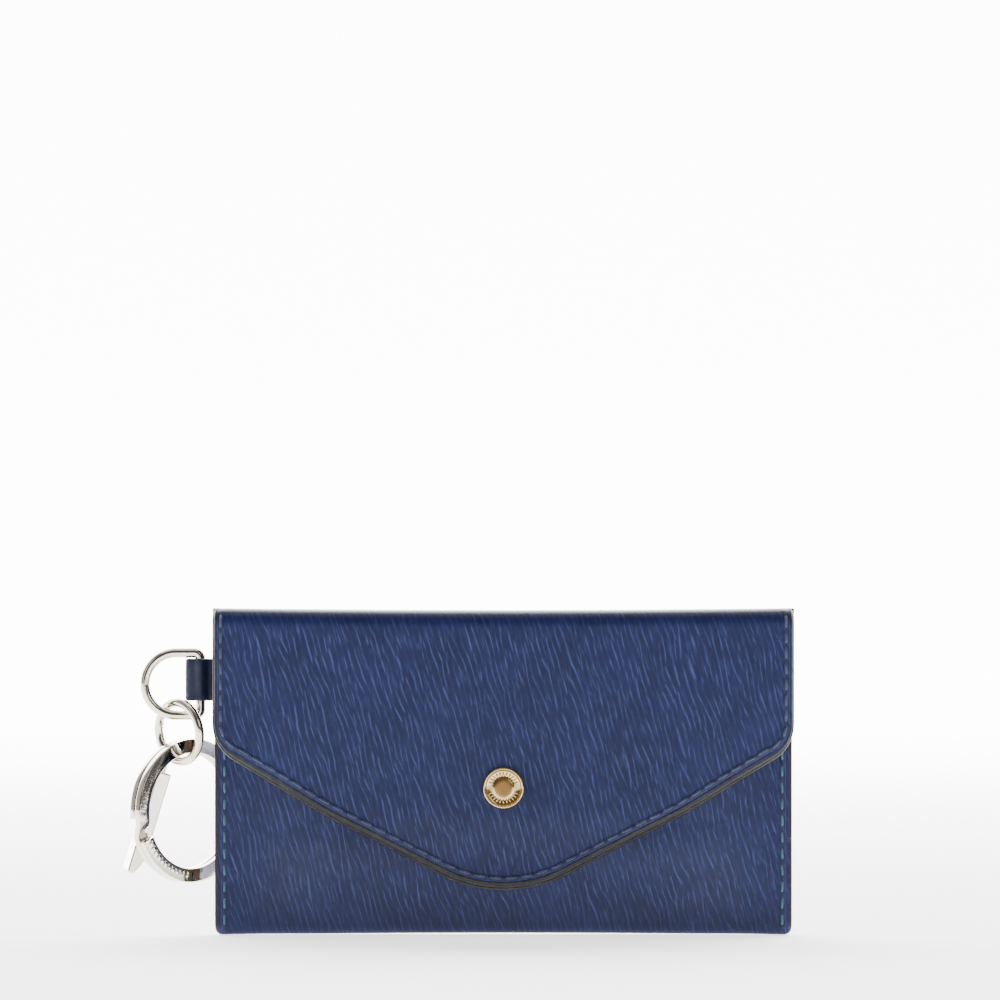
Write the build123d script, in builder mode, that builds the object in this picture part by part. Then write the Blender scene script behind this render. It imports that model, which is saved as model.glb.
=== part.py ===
"""Envelope wallet with a snap flap, and a ring tab that carries its key hardware.

Millimetres, +Z up, the front faces -Y. The origin is the middle of the base.
One leather wraps the front, the base and the back, then turns over the top into the flap.
"""

import os
from math import cos, radians, sin, tan

from build123d import *

# Pouch
WIDTH = 120.0  # side edge to side edge
HEIGHT = 68.0  # base to the top of the fold
POUCH_DEPTH = 11.6  # over both panels, in the middle
MOUTH_DROP = 5.0  # the front panel's top edge, below the fold
LEATHER = 1.2
LINING = 0.4
GLUE = 0.05
SEAM_BAND = 4.0  # flat band along each side, where the panels are sewn together
SHOULDER = 16.0  # from the seam band to the full depth
SHOULDER_RADIUS = 13.0
BASE_RADIUS = 0.3
CORNER_RADIUS = 1.3

# Card pocket inside, against the back
CARD_POCKET_WIDTH = 92.0
CARD_POCKET_HEIGHT = 44.0
CARD_POCKET_FABRIC = 0.9

# Flap
FLAP_OVERHANG = 0.3  # past each side edge of the pouch
FLAP_SIDE = 23.8  # the straight side, from the top of the fold to the corner
FLAP_GAP = 1.8  # between the front panel and the flap, where the snap sits
FLAP_LINING = 0.8
FLAP_CORNER_RADIUS = 9.0
KNEE_X = 37.5  # where the lower edge bends slightly
KNEE_RADIUS = 120.0
UPPER_SLOPE = 31.2
LOWER_SLOPE = 27.0
TIP_RADIUS = 28.5
FOLD_CLEARANCE = 0.2

# Stitching
THREAD = 0.5
THREAD_HEIGHT = 0.25
FLAP_THREAD_INSET = 1.7
SEAM_THREAD_INSET = 2.0
SEAM_THREAD_START = 3.0

# Snap
SNAP_INSET = 16.2  # from the flap's tip
CAP_RADIUS = 4.3
CAP_HEIGHT = 1.1
CAP_DISC_RADIUS = 2.0
RIVET_RADIUS = 1.4
RIVET_HEAD = 0.25
SOCKET_RADIUS = 5.0
SOCKET_BORE = 2.8
SOCKET_BASE = 0.3
STUD_RADIUS = 1.9
STUD_FLANGE_RADIUS = 4.0
STUD_FLANGE = 0.45
STUD_HEAD = 1.4
POST_RADIUS = 1.2
POST_HEAD_RADIUS = 3.8
POST_HEAD = 0.5
SNAP_CLEARANCE = 0.2
HOLE_CLEARANCE = 0.05

# Ring tab, a strip folded round the D-ring's bar and sewn into the left seam
TAB_DROP = 10.5  # its top edge, below the fold
TAB_HEIGHT = 8.8
TAB_LEATHER = 0.8
TAB_REACH = 6.2  # past the side edge
TAB_END = 1.2  # radius of its folded end, over the leather
TAB_TAIL = 0.7  # pared down where the seam holds it
BAR_PLAY = 0.3

# D-ring
D_WIRE = 2.0
TAB_PLAY = 0.2  # between the tab's edges and the D-ring's runs
D_REACH = 13.55
D_CORNER = 1.3
D_SAG = 0.9  # its middle, below the tab's middle
D_HEIGHT = TAB_HEIGHT + 2 * (D_SAG + TAB_PLAY + D_WIRE)
BAR_REACH = 3.05  # the bar, past the side edge

# Jump ring
JUMP_OUTSIDE = 14.3
JUMP_WIRE = 1.9
JUMP_TURN = -45.0  # about the vertical
JUMP_LEAN = 9.0
JUMP_SEAT = 5.4  # along the D-ring's lower run
JUMP_GAP = 1.5  # degrees of the ring left open at its split
JUMP_SPLIT = 140.0
JUMP_PLAY = 0.7  # between its wire and the D-ring's
TAG_PLAY = 0.2  # between its wire and the tag's eye

# Key ring, a flat double coil
KEY_OUTSIDE = 30.0
KEY_BAND = 3.0
KEY_THICKNESS = 3.2
KEY_TURN = 44.0
KEY_SHIFT = 2.0
KEY_PLAY = 0.6
KEY_GROOVE = 0.3
KEY_GROOVE_DEPTH = 0.6
KEY_ROUND = 0.35

# Bar tag
TAG_LENGTH = 22.0
TAG_WIDTH = 6.0
TAG_THICKNESS = 3.0
TAG_ROUND = 0.5
TAG_TURN = 75.0
TAG_TILT = 17.0
TAG_SEAT = 47.0  # degrees round the jump ring from its lowest side
TAG_EYE_RADIUS = 2.15
TAG_EYE_WIRE = 1.4
TAG_NECK = 3.6  # from the eye's centre to the bar

# What follows from the sizes above
HALF_SEAM = LEATHER + GLUE + LINING
FLAT_X = WIDTH / 2 - SEAM_BAND
FULL_X = FLAT_X - SHOULDER
FRONT_TOP = HEIGHT - MOUTH_DROP
FOLD_Z = HEIGHT - LEATHER / 2
BACK_TOP = HEIGHT - LEATHER - LINING - FOLD_CLEARANCE
PANEL_FACE = POUCH_DEPTH / 2
BACK_HINGE = -(PANEL_FACE - LEATHER / 2)
FLAP_BACK = PANEL_FACE + FLAP_GAP
FLAP_MIDDLE = FLAP_BACK + FLAP_LINING
FLAP_FRONT = FLAP_MIDDLE + LEATHER
FLAP_HINGE = FLAP_MIDDLE + LEATHER / 2
FLAP_HALF = WIDTH / 2 + FLAP_OVERHANG
CORNER_Z = HEIGHT - FLAP_SIDE
KNEE_Z = CORNER_Z - (FLAP_HALF - KNEE_X) * tan(radians(UPPER_SLOPE))
TIP_POINT_Z = KNEE_Z - KNEE_X * tan(radians(LOWER_SLOPE))
TIP_Z = TIP_POINT_Z + TIP_RADIUS * (1 / cos(radians(LOWER_SLOPE)) - 1)
SNAP_Z = TIP_Z + SNAP_INSET
TAB_TOP = HEIGHT - TAB_DROP
TAB_BASE = TAB_TOP - TAB_HEIGHT
BAR_X = -(WIDTH / 2 + BAR_REACH)
D_MIDDLE_Z = TAB_BASE + TAB_HEIGHT / 2 - D_SAG

SNAP_AXIS = (0, SNAP_Z)


def forward(distance):
    """The plane that faces the front, the given distance before the middle: its x is X, its y is Z."""
    return Plane.XZ.offset(distance)


def plan(inset):
    """The pouch from above, the given distance inside its outer faces."""
    side = HALF_SEAM - inset
    middle = PANEL_FACE - inset
    shoulders = [(-FLAT_X, -side), (-FULL_X, -middle), (FULL_X, -middle), (FLAT_X, -side)]
    front = [(-WIDTH / 2, -side), *shoulders, (WIDTH / 2, -side)]
    back = [(x, -y) for x, y in reversed(front)]
    with BuildSketch() as outline:
        with BuildLine():
            Polyline(*front, *back, close=True)
        make_face()
        bends = outline.vertices().filter_by(lambda v: abs(v.X) < WIDTH / 2 - SEAM_BAND / 2)
        fillet(bends, SHOULDER_RADIUS)
    return outline.sketch


def hollow_plan(inset):
    """The space inside the lining from above, which comes to a point at each seam."""
    middle = PANEL_FACE - inset
    with BuildSketch() as outline:
        with BuildLine():
            Polyline(
                (-FLAT_X, 0),
                (-FULL_X, -middle),
                (FULL_X, -middle),
                (FLAT_X, 0),
                (FULL_X, middle),
                (-FULL_X, middle),
                close=True,
            )
        make_face()
        bends = outline.vertices().filter_by(lambda v: abs(v.X) < FLAT_X - SHOULDER / 2)
        fillet(bends, SHOULDER_RADIUS)
    return outline.sketch


def flap_plan(top):
    """The flap's envelope outline, up to the given height."""
    with BuildSketch() as outline:
        with BuildLine():
            Polyline(
                (-FLAP_HALF, top),
                (-FLAP_HALF, CORNER_Z),
                (-KNEE_X, KNEE_Z),
                (0, TIP_POINT_Z),
                (KNEE_X, KNEE_Z),
                (FLAP_HALF, CORNER_Z),
                (FLAP_HALF, top),
                close=True,
            )
        make_face()
        by_height = outline.vertices().group_by(Axis.Y)
        fillet(by_height[2], FLAP_CORNER_RADIUS)
        knees = outline.vertices().filter_by(lambda v: abs(abs(v.X) - KNEE_X) < THREAD)
        fillet(knees, KNEE_RADIUS)
        fillet(outline.vertices().sort_by(Axis.Y)[0], TIP_RADIUS)
    return outline.sketch


# ------------------------------------------------------------------ pouch

with BuildPart() as leather_shell:
    with BuildSketch(Plane.XY):
        add(plan(0))
    extrude(amount=BACK_TOP)
    fillet(leather_shell.faces().sort_by(Axis.Z)[0].edges().filter_by(Axis.Y, reverse=True), BASE_RADIUS)
    with BuildSketch(forward(-POUCH_DEPTH)) as front_view:
        with Locations((0, HEIGHT / 2)):
            Rectangle(WIDTH, HEIGHT)
        fillet(front_view.vertices().group_by(Axis.Z)[0], CORNER_RADIUS)
    extrude(amount=2 * POUCH_DEPTH, mode=Mode.INTERSECT)
    with BuildSketch(Plane.XY.offset(LEATHER)):
        add(plan(LEATHER))
    extrude(amount=HEIGHT, mode=Mode.SUBTRACT)
    with BuildSketch(Plane.XY.offset(FRONT_TOP)):
        Rectangle(2 * WIDTH, POUCH_DEPTH, align=(Align.CENTER, Align.MAX))
    extrude(amount=HEIGHT, mode=Mode.SUBTRACT)
    with BuildSketch(forward(0)):
        with Locations(SNAP_AXIS):
            Circle(POST_RADIUS + HOLE_CLEARANCE)
    extrude(amount=POUCH_DEPTH, mode=Mode.SUBTRACT)

with BuildPart() as pouch_lining:
    with BuildSketch(Plane.XY.offset(LEATHER + GLUE)):
        add(plan(LEATHER + GLUE))
    extrude(amount=BACK_TOP - LEATHER - GLUE - FOLD_CLEARANCE)
    with BuildSketch(Plane.XY.offset(LEATHER + GLUE + LINING)):
        add(hollow_plan(HALF_SEAM))
    extrude(amount=HEIGHT, mode=Mode.SUBTRACT)
    with BuildSketch(Plane.XY.offset(FRONT_TOP)):
        Rectangle(2 * WIDTH, POUCH_DEPTH, align=(Align.CENTER, Align.MAX))
    extrude(amount=HEIGHT, mode=Mode.SUBTRACT)
    with BuildSketch(Plane.XY.offset(TAB_BASE - GLUE)):
        with Locations((-WIDTH / 2, 0)):
            Rectangle(2 * SEAM_BAND + 2 * GLUE, POUCH_DEPTH)
    extrude(amount=TAB_HEIGHT + 2 * GLUE, mode=Mode.SUBTRACT)
    with BuildSketch(forward(0)):
        with Locations(SNAP_AXIS):
            Circle(POST_RADIUS + HOLE_CLEARANCE)
    extrude(amount=POUCH_DEPTH, mode=Mode.SUBTRACT)

with BuildPart() as card_pocket:
    with BuildSketch(Plane.XY.offset(LEATHER + GLUE + LINING + GLUE)) as pocket_wall:
        add(hollow_plan(HALF_SEAM + GLUE))
        add(hollow_plan(HALF_SEAM + GLUE + CARD_POCKET_FABRIC), mode=Mode.SUBTRACT)
        Rectangle(CARD_POCKET_WIDTH, POUCH_DEPTH, align=(Align.CENTER, Align.MIN), mode=Mode.INTERSECT)
    extrude(amount=CARD_POCKET_HEIGHT)

with BuildPart() as ring_tab:
    loop_end = TAB_END - WIDTH / 2 - TAB_REACH
    bar_hole = D_WIRE / 2 + BAR_PLAY
    with BuildSketch(Plane.XY.offset(TAB_BASE)):
        with Locations((loop_end, 0)):
            Circle(TAB_END)
        with Locations((BAR_X, 0)):
            Circle(bar_hole + TAB_LEATHER)
        with Locations((-(WIDTH / 2 + TAB_LEATHER + HOLE_CLEARANCE), 0)):
            Circle(TAB_LEATHER)
        make_hull()
        with Locations((-(WIDTH / 2 + TAB_LEATHER), 0)):
            Rectangle(TAB_LEATHER + SEAM_BAND, TAB_TAIL, align=(Align.MIN, Align.CENTER))
        with BuildSketch(mode=Mode.PRIVATE) as bar_room:
            with Locations((loop_end, 0)):
                Circle(TAB_END - TAB_LEATHER)
            with Locations((BAR_X, 0)):
                Circle(bar_hole)
            make_hull()
        add(bar_room.sketch, mode=Mode.SUBTRACT)
    extrude(amount=TAB_HEIGHT)

seam_threads = {}
for name, side in (("seam_thread_left", -1), ("seam_thread_right", 1)):
    with BuildPart() as seam_thread:
        x = side * (WIDTH / 2 - SEAM_THREAD_INSET)
        for face, top in ((1, FRONT_TOP), (-1, BACK_TOP)):
            length = top - 2 * SEAM_THREAD_START
            with BuildSketch(forward(face * HALF_SEAM)):
                with Locations((x, SEAM_THREAD_START + length / 2)):
                    Rectangle(THREAD, length)
            extrude(amount=face * THREAD_HEIGHT)
    seam_threads[name] = seam_thread

with BuildPart() as stud_post:
    with BuildSketch(forward(PANEL_FACE - HALF_SEAM)):
        with Locations(SNAP_AXIS):
            Circle(POST_HEAD_RADIUS)
    extrude(amount=-POST_HEAD)
    with BuildSketch(forward(PANEL_FACE - HALF_SEAM)):
        with Locations(SNAP_AXIS):
            Circle(POST_RADIUS)
    extrude(amount=HALF_SEAM + STUD_FLANGE + STUD_HEAD / 2)

with BuildPart() as snap_stud:
    with BuildSketch(forward(PANEL_FACE)):
        with Locations(SNAP_AXIS):
            Circle(STUD_FLANGE_RADIUS)
    extrude(amount=STUD_FLANGE)
    with BuildSketch(forward(PANEL_FACE + STUD_FLANGE)):
        with Locations(SNAP_AXIS):
            Circle(STUD_RADIUS)
    extrude(amount=STUD_HEAD)
    fillet(snap_stud.faces().sort_by(Axis.Y)[0].edges(), STUD_RADIUS / 3)
    with BuildSketch(forward(PANEL_FACE)):
        with Locations(SNAP_AXIS):
            Circle(POST_RADIUS + HOLE_CLEARANCE)
    extrude(amount=STUD_FLANGE + STUD_HEAD / 2 + HOLE_CLEARANCE, mode=Mode.SUBTRACT)

# ------------------------------------------------------------------ fold and flap

with BuildPart() as top_fold:
    with BuildSketch(Plane.YZ.offset(-FLAP_HALF)) as fold_section:
        with Locations((-BACK_HINGE, FOLD_Z)):
            Circle(LEATHER / 2)
            Rectangle(
                FLAP_HINGE - BACK_HINGE - LEATHER / 2 - FOLD_CLEARANCE,
                LEATHER,
                align=(Align.MAX, Align.CENTER),
            )
    extrude(amount=2 * FLAP_HALF)

with BuildPart() as fold_lining:
    with BuildSketch(Plane.YZ.offset(-WIDTH / 2)):
        with Locations((-BACK_HINGE - LEATHER - FOLD_CLEARANCE, HEIGHT - LEATHER)):
            Rectangle(
                FLAP_BACK - BACK_HINGE - LEATHER - 2 * FOLD_CLEARANCE,
                LINING,
                align=(Align.MAX, Align.MAX),
            )
    extrude(amount=WIDTH)

with BuildPart() as flap_leather:
    with BuildSketch(forward(FLAP_MIDDLE)):
        add(flap_plan(FOLD_Z))
        with Locations(SNAP_AXIS):
            Circle(RIVET_RADIUS + HOLE_CLEARANCE, mode=Mode.SUBTRACT)
    extrude(amount=LEATHER)
    with BuildSketch(Plane.YZ.offset(-FLAP_HALF)):
        with Locations((-FLAP_HINGE, FOLD_Z)):
            Circle(LEATHER / 2)
    extrude(amount=2 * FLAP_HALF)

with BuildPart() as flap_lining:
    with BuildSketch(forward(FLAP_BACK)):
        add(flap_plan(HEIGHT - LEATHER - LINING))
        with Locations(SNAP_AXIS):
            Circle(SOCKET_RADIUS + HOLE_CLEARANCE, mode=Mode.SUBTRACT)
    extrude(amount=FLAP_LINING)

with BuildPart() as flap_thread:
    with BuildSketch(forward(FLAP_FRONT)):
        add(offset(flap_plan(HEIGHT), amount=-(FLAP_THREAD_INSET - THREAD / 2), mode=Mode.PRIVATE))
        add(
            offset(flap_plan(HEIGHT), amount=-(FLAP_THREAD_INSET + THREAD / 2), mode=Mode.PRIVATE),
            mode=Mode.SUBTRACT,
        )
        with Locations((0, HEIGHT)):
            Rectangle(2 * WIDTH, 4 * LEATHER, mode=Mode.SUBTRACT)
    extrude(amount=THREAD_HEIGHT)

with BuildPart() as snap_socket:
    with BuildSketch(forward(FLAP_MIDDLE)):
        with Locations(SNAP_AXIS):
            Circle(SOCKET_RADIUS)
    extrude(amount=-(FLAP_MIDDLE - PANEL_FACE - STUD_FLANGE - SNAP_CLEARANCE))
    fillet(snap_socket.faces().sort_by(Axis.Y)[-1].edges(), STUD_FLANGE)
    with BuildSketch(forward(FLAP_MIDDLE - SOCKET_BASE)):
        with Locations(SNAP_AXIS):
            Circle(SOCKET_BORE)
    extrude(amount=-FLAP_MIDDLE, mode=Mode.SUBTRACT)
    with BuildSketch(forward(FLAP_MIDDLE)):
        with Locations(SNAP_AXIS):
            Circle(RIVET_RADIUS + HOLE_CLEARANCE)
    extrude(amount=-FLAP_MIDDLE, mode=Mode.SUBTRACT)

with BuildPart() as snap_cap:
    rim = CAP_HEIGHT / 3
    with BuildSketch(forward(FLAP_FRONT)):
        with Locations(SNAP_AXIS):
            Circle(CAP_RADIUS)
    extrude(amount=CAP_HEIGHT)
    fillet(snap_cap.faces().sort_by(Axis.Y)[0].edges(), rim)
    with BuildSketch(forward(FLAP_FRONT + CAP_HEIGHT - rim / 2)):
        with Locations(SNAP_AXIS):
            Circle(CAP_RADIUS - 2 * rim)
            Circle(CAP_DISC_RADIUS, mode=Mode.SUBTRACT)
    extrude(amount=CAP_HEIGHT, mode=Mode.SUBTRACT)
    with BuildSketch(forward(FLAP_FRONT)):
        with Locations(SNAP_AXIS):
            Circle(RIVET_RADIUS)
    extrude(amount=-(LEATHER + SOCKET_BASE))
    with BuildSketch(forward(FLAP_MIDDLE - SOCKET_BASE)):
        with Locations(SNAP_AXIS):
            Circle(RIVET_RADIUS + 2 * RIVET_HEAD)
    extrude(amount=-RIVET_HEAD)

# ------------------------------------------------------------------ rings and tag

with BuildPart() as d_ring:
    half = (D_HEIGHT - D_WIRE) / 2
    run = D_REACH - D_WIRE - half
    d_plane = Plane(origin=(BAR_X, 0, D_MIDDLE_Z), x_dir=(-1, 0, 0), z_dir=(0, 1, 0))
    with BuildLine(d_plane) as d_path:
        Line((0, -half), (run, -half))
        ThreePointArc((run, -half), (run + half, 0), (run, half))
        Line((run, half), (0, half))
        Line((0, half), (0, -half))
        fillet(d_path.vertices().filter_by(lambda v: abs(v.X - BAR_X) < D_WIRE / 4), D_CORNER)
    with BuildSketch(Plane(origin=d_plane.from_local_coords((run, -half, 0)), z_dir=d_plane.x_dir)):
        Circle(D_WIRE / 2)
    sweep(path=d_path.wire())

# The jump ring hangs from the D-ring's lower run, turned and leaning
jump_radius = (JUMP_OUTSIDE - JUMP_WIRE) / 2
hang_point = d_plane.from_local_coords((JUMP_SEAT, -half, 0))
turned = Vector(cos(radians(JUMP_TURN)), sin(radians(JUMP_TURN)), 0)
jump_across = turned.rotate(Axis.Y, -JUMP_LEAN)
jump_up = Vector(0, 0, 1).rotate(Axis.Y, -JUMP_LEAN)
jump_normal = jump_across.cross(jump_up)
link_height = (D_WIRE + JUMP_WIRE) / 2 + JUMP_PLAY
jump_centre = hang_point + Vector(0, 0, link_height) - jump_up * jump_radius


def round_jump(angle):
    """A point on the jump ring's wire and the wire's direction there, by the angle from its low side."""
    out = jump_across * -sin(radians(angle)) - jump_up * cos(radians(angle))
    return jump_centre + out * jump_radius, jump_normal.cross(out)


with BuildPart() as jump_ring:
    split, split_run = round_jump(JUMP_SPLIT)
    with BuildSketch(Plane(origin=split, x_dir=split - jump_centre, z_dir=split_run)):
        Circle(JUMP_WIRE / 2)
    revolve(axis=Axis(jump_centre, jump_normal), revolution_arc=360 - JUMP_GAP)

# The key ring hangs in the jump ring's lowest point, a little off its own top
key_inner = KEY_OUTSIDE / 2 - KEY_BAND
key_across = Vector(cos(radians(KEY_TURN)), sin(radians(KEY_TURN)), 0)
key_normal = key_across.cross(Vector(0, 0, 1))
low_out = (jump_across * jump_across.Z + jump_up * jump_up.Z).normalized() * -1
jump_low = jump_centre + low_out * jump_radius
key_drop = (key_inner**2 - KEY_SHIFT**2) ** 0.5 - JUMP_WIRE / 2 - KEY_PLAY
key_centre = jump_low + key_across * KEY_SHIFT - Vector(0, 0, key_drop)

with BuildPart() as key_ring:
    with BuildSketch(Plane(origin=key_centre, x_dir=key_across, z_dir=(0, 0, 1))) as key_section:
        with Locations((key_inner + KEY_BAND / 2, 0)):
            Rectangle(KEY_BAND, KEY_THICKNESS)
        fillet(key_section.vertices(), KEY_ROUND)
        with Locations((key_inner, 0), (key_inner + KEY_BAND, 0)):
            Rectangle(2 * KEY_GROOVE_DEPTH, KEY_GROOVE, mode=Mode.SUBTRACT)
    revolve(axis=Axis(key_centre, key_normal), revolution_arc=360)

# The tag's eye is threaded on the jump ring's rear wire, and its bar slants down behind the key ring
tag_seat, tag_wire_run = round_jump(TAG_SEAT)
tag_down = Vector(0, 0, -1)
tag_fall = (tag_down - tag_wire_run * tag_down.dot(tag_wire_run)).normalized()
eye_hole = TAG_EYE_RADIUS - TAG_EYE_WIRE / 2
eye_centre = tag_seat + tag_fall * (eye_hole - JUMP_WIRE / 2 - TAG_PLAY)
tag_run = Vector(-sin(radians(TAG_TILT)), 0, -cos(radians(TAG_TILT)))
tag_side = Vector(cos(radians(TAG_TURN)), -sin(radians(TAG_TURN)), 0)
tag_side = (tag_side - tag_run * tag_side.dot(tag_run)).normalized()

with BuildPart() as tag:
    with BuildSketch(Plane(origin=eye_centre + tag_run * TAG_NECK, x_dir=tag_side, z_dir=tag_run)):
        Rectangle(TAG_WIDTH, TAG_THICKNESS)
    extrude(amount=TAG_LENGTH)
    fillet(tag.edges(), TAG_ROUND)
    with BuildSketch(Plane(origin=eye_centre + tag_run * TAG_EYE_RADIUS, z_dir=tag_run)):
        Circle(TAG_EYE_WIRE / 2)
    extrude(amount=TAG_NECK - TAG_EYE_RADIUS + TAG_ROUND)
    eye_start = Plane(
        origin=eye_centre + tag_fall * TAG_EYE_RADIUS, x_dir=tag_fall, z_dir=tag_wire_run.cross(tag_fall)
    )
    with BuildSketch(eye_start):
        Circle(TAG_EYE_WIRE / 2)
    revolve(axis=Axis(eye_centre, tag_wire_run), revolution_arc=360)

# ------------------------------------------------------------------ write the parts

pieces = {
    "leather_shell": leather_shell,
    "pouch_lining": pouch_lining,
    "card_pocket": card_pocket,
    "ring_tab": ring_tab,
    **seam_threads,
    "stud_post": stud_post,
    "snap_stud": snap_stud,
    "top_fold": top_fold,
    "fold_lining": fold_lining,
    "flap_leather": flap_leather,
    "flap_lining": flap_lining,
    "flap_thread": flap_thread,
    "snap_socket": snap_socket,
    "snap_cap": snap_cap,
    "d_ring": d_ring,
    "jump_ring": jump_ring,
    "key_ring": key_ring,
    "tag": tag,
}

os.makedirs("parts", exist_ok=True)
for name, piece in pieces.items():
    piece.part.label = name
    export_step(piece.part, f"parts/{name}.step")
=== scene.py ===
"""Looks of an envelope wallet: embossed blue leather, a stitched flap with a press snap, and a ring tab with
polished key hardware. Lengths are in millimetres until a piece's mesh is made, which is in metres."""

from math import cos, pi, radians, sin, sqrt, tan

import bmesh
import bpy
import numpy as np
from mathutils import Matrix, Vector


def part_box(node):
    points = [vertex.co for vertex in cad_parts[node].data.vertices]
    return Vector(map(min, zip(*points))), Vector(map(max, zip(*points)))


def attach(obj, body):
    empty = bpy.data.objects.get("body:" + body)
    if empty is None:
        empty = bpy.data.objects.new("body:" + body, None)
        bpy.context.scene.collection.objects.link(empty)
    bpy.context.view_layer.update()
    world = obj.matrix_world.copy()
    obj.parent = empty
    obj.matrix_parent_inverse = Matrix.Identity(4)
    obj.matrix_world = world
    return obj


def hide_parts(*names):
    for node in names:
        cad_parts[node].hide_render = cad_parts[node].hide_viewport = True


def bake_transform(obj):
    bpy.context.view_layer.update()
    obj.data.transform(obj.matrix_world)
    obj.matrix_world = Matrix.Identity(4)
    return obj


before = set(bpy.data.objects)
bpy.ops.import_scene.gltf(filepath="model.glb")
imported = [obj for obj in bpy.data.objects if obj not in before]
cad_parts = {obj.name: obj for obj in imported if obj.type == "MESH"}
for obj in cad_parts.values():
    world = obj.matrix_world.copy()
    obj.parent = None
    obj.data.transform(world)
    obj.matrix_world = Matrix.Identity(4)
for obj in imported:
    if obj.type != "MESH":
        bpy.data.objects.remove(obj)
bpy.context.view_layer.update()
MM = 0.001


def node_box(node):
    low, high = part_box(node)
    return np.array(low) / MM, np.array(high) / MM


# ------------------------------------------------------------------ sizes read from the frame

_, shell_high = node_box("leather_shell")
flap_low, flap_high = node_box("flap_leather")
cap_low, cap_high = node_box("snap_cap")
tab_low, tab_high = node_box("ring_tab")
d_low, d_high = node_box("d_ring")
pocket_low, pocket_high = node_box("card_pocket")

HALF_WIDTH = shell_high[0]
TOP = flap_high[2]
FLAP_HALF = flap_high[0]
FLAP_FACE = flap_low[1]
HALF_DEPTH = shell_high[1]

# ------------------------------------------------------------------ leather sizes

LEATHER = 1.2
HALF_SEAM = 1.65
SEAM_START, SEAM_END = 40.0, 56.5
FRONT_TOP = 63.0
BACK_JOIN = 63.0
BASE_RADIUS = 1.9
CORNER_RADIUS = 1.5
BASE_RISE = 0.45
TOP_DIP = 0.45
FOLD_MIDDLE = -1.9
BACK_BEND, FRONT_BEND = 2.2, 3.0
FLAP_LINING = 0.8
FLAP_LEAN = 2.0
TIP_LEAN = 0.5

# Flap outline
SIDE_CORNER = TOP - 23.8
SIDE_CORNER_RADIUS = 9.0
KNEE_X, KNEE_RADIUS = 37.5, 120.0
UPPER_SLOPE, LOWER_SLOPE = 31.2, 27.0
TIP_RADIUS = 28.5
EDGE_WIDTH, EDGE_WIDTH_SIDE = 1.75, 1.05
STITCH_INSET, STITCH_INSET_SIDE = 2.6, 1.75

FLAP_PITCH, SEAM_PITCH = 3.2, 3.4
SEAM_INSET = 2.0


def ease(t):
    t = np.clip(t, 0, 1)
    return t * t * (3 - 2 * t)


# ------------------------------------------------------------------ meshes


def mesh_piece(name, points, faces, materials, face_material=None, smooth_angle=40, values=None):
    """A mesh in metres from points in millimetres. values are point attributes, numbers or vectors."""
    mesh = bpy.data.meshes.new(name)
    points = np.asarray(points, float)
    mesh.from_pydata([tuple(p) for p in points * MM], [], [tuple(int(i) for i in f) for f in faces])
    mesh.validate()
    for material in materials:
        mesh.materials.append(material)
    if face_material is not None:
        mesh.polygons.foreach_set("material_index", np.asarray(face_material, np.int32))
    mesh.polygons.foreach_set("use_smooth", np.ones(len(mesh.polygons), bool))
    for key, data in (values or {}).items():
        data = np.asarray(data, np.float32)
        kind, slot = ("FLOAT", "value") if data.ndim == 1 else ("FLOAT_VECTOR", "vector")
        mesh.attributes.new(key, kind, "POINT").data.foreach_set(slot, data.ravel())
    mesh.update()
    mesh.set_sharp_from_angle(angle=radians(smooth_angle))
    piece = bpy.data.objects.new(name, mesh)
    bpy.context.scene.collection.objects.link(piece)
    return piece


def hide_sheet(name, face, back, materials, rounded=(1, 1, 1, 1), swell=0.22, values=None, smooth_angle=40):
    """A closed sheet of hide between two grids of points. Its cut edges bulge where rounded is 1, in the
    order first row, last row, first column, last column. Materials are face, back and cut edge."""
    rows, columns = face.shape[:2]
    count = rows * columns
    grid = np.arange(count).reshape(rows, columns)
    points = [face.reshape(-1, 3), back.reshape(-1, 3)]
    a, b, c, d = grid[:-1, :-1], grid[1:, :-1], grid[1:, 1:], grid[:-1, 1:]
    front_faces = np.stack([a, b, c, d], -1).reshape(-1, 4)
    back_faces = np.stack([a, d, c, b], -1).reshape(-1, 4) + count
    faces, kinds = [front_faces, back_faces], [np.zeros(len(front_faces)), np.ones(len(back_faces))]
    loop = np.concatenate([grid[0, :-1], grid[:-1, -1], grid[-1, :0:-1], grid[:0:-1, 0]])
    inner = np.concatenate([
        grid[1, :-1], grid[:-1, -2], grid[-2, :0:-1], grid[:0:-1, 1]])
    strength = np.concatenate([
        np.full(columns - 1, rounded[0]), np.full(rows - 1, rounded[3]),
        np.full(columns - 1, rounded[1]), np.full(rows - 1, rounded[2])]).astype(float)
    flat_face, flat_back = face.reshape(-1, 3), back.reshape(-1, 3)
    outward = flat_face[loop] - flat_face[inner]
    outward /= np.maximum(np.linalg.norm(outward, axis=1, keepdims=True), 1e-9)
    rings, base = [loop], 2 * count
    extra = []
    for t in (0.12, 0.35, 0.65, 0.88):
        ring = flat_face[loop] * (1 - t) + flat_back[loop] * t
        ring = ring + outward * (swell * strength * sin(pi * t) ** 0.6)[:, None]
        rings.append(np.arange(base, base + len(loop)))
        base += len(loop)
        extra.append(ring)
    rings.append(loop + count)
    for first, second in zip(rings, rings[1:]):
        quads = np.stack([first, second, np.roll(second, -1), np.roll(first, -1)], -1)
        faces.append(quads[:, ::-1])
        kinds.append(np.full(len(quads), 2))
    points = np.concatenate(points + extra)
    carried = {}
    for key, data in (values or {}).items():
        flat = data.reshape(count, -1) if data.ndim == 3 else data.reshape(count)
        carried[key] = np.concatenate([flat, flat] + [flat[loop]] * len(extra))
    return mesh_piece(name, points, np.concatenate(faces), materials, np.concatenate(kinds).astype(int),
                      smooth_angle, carried)


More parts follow.
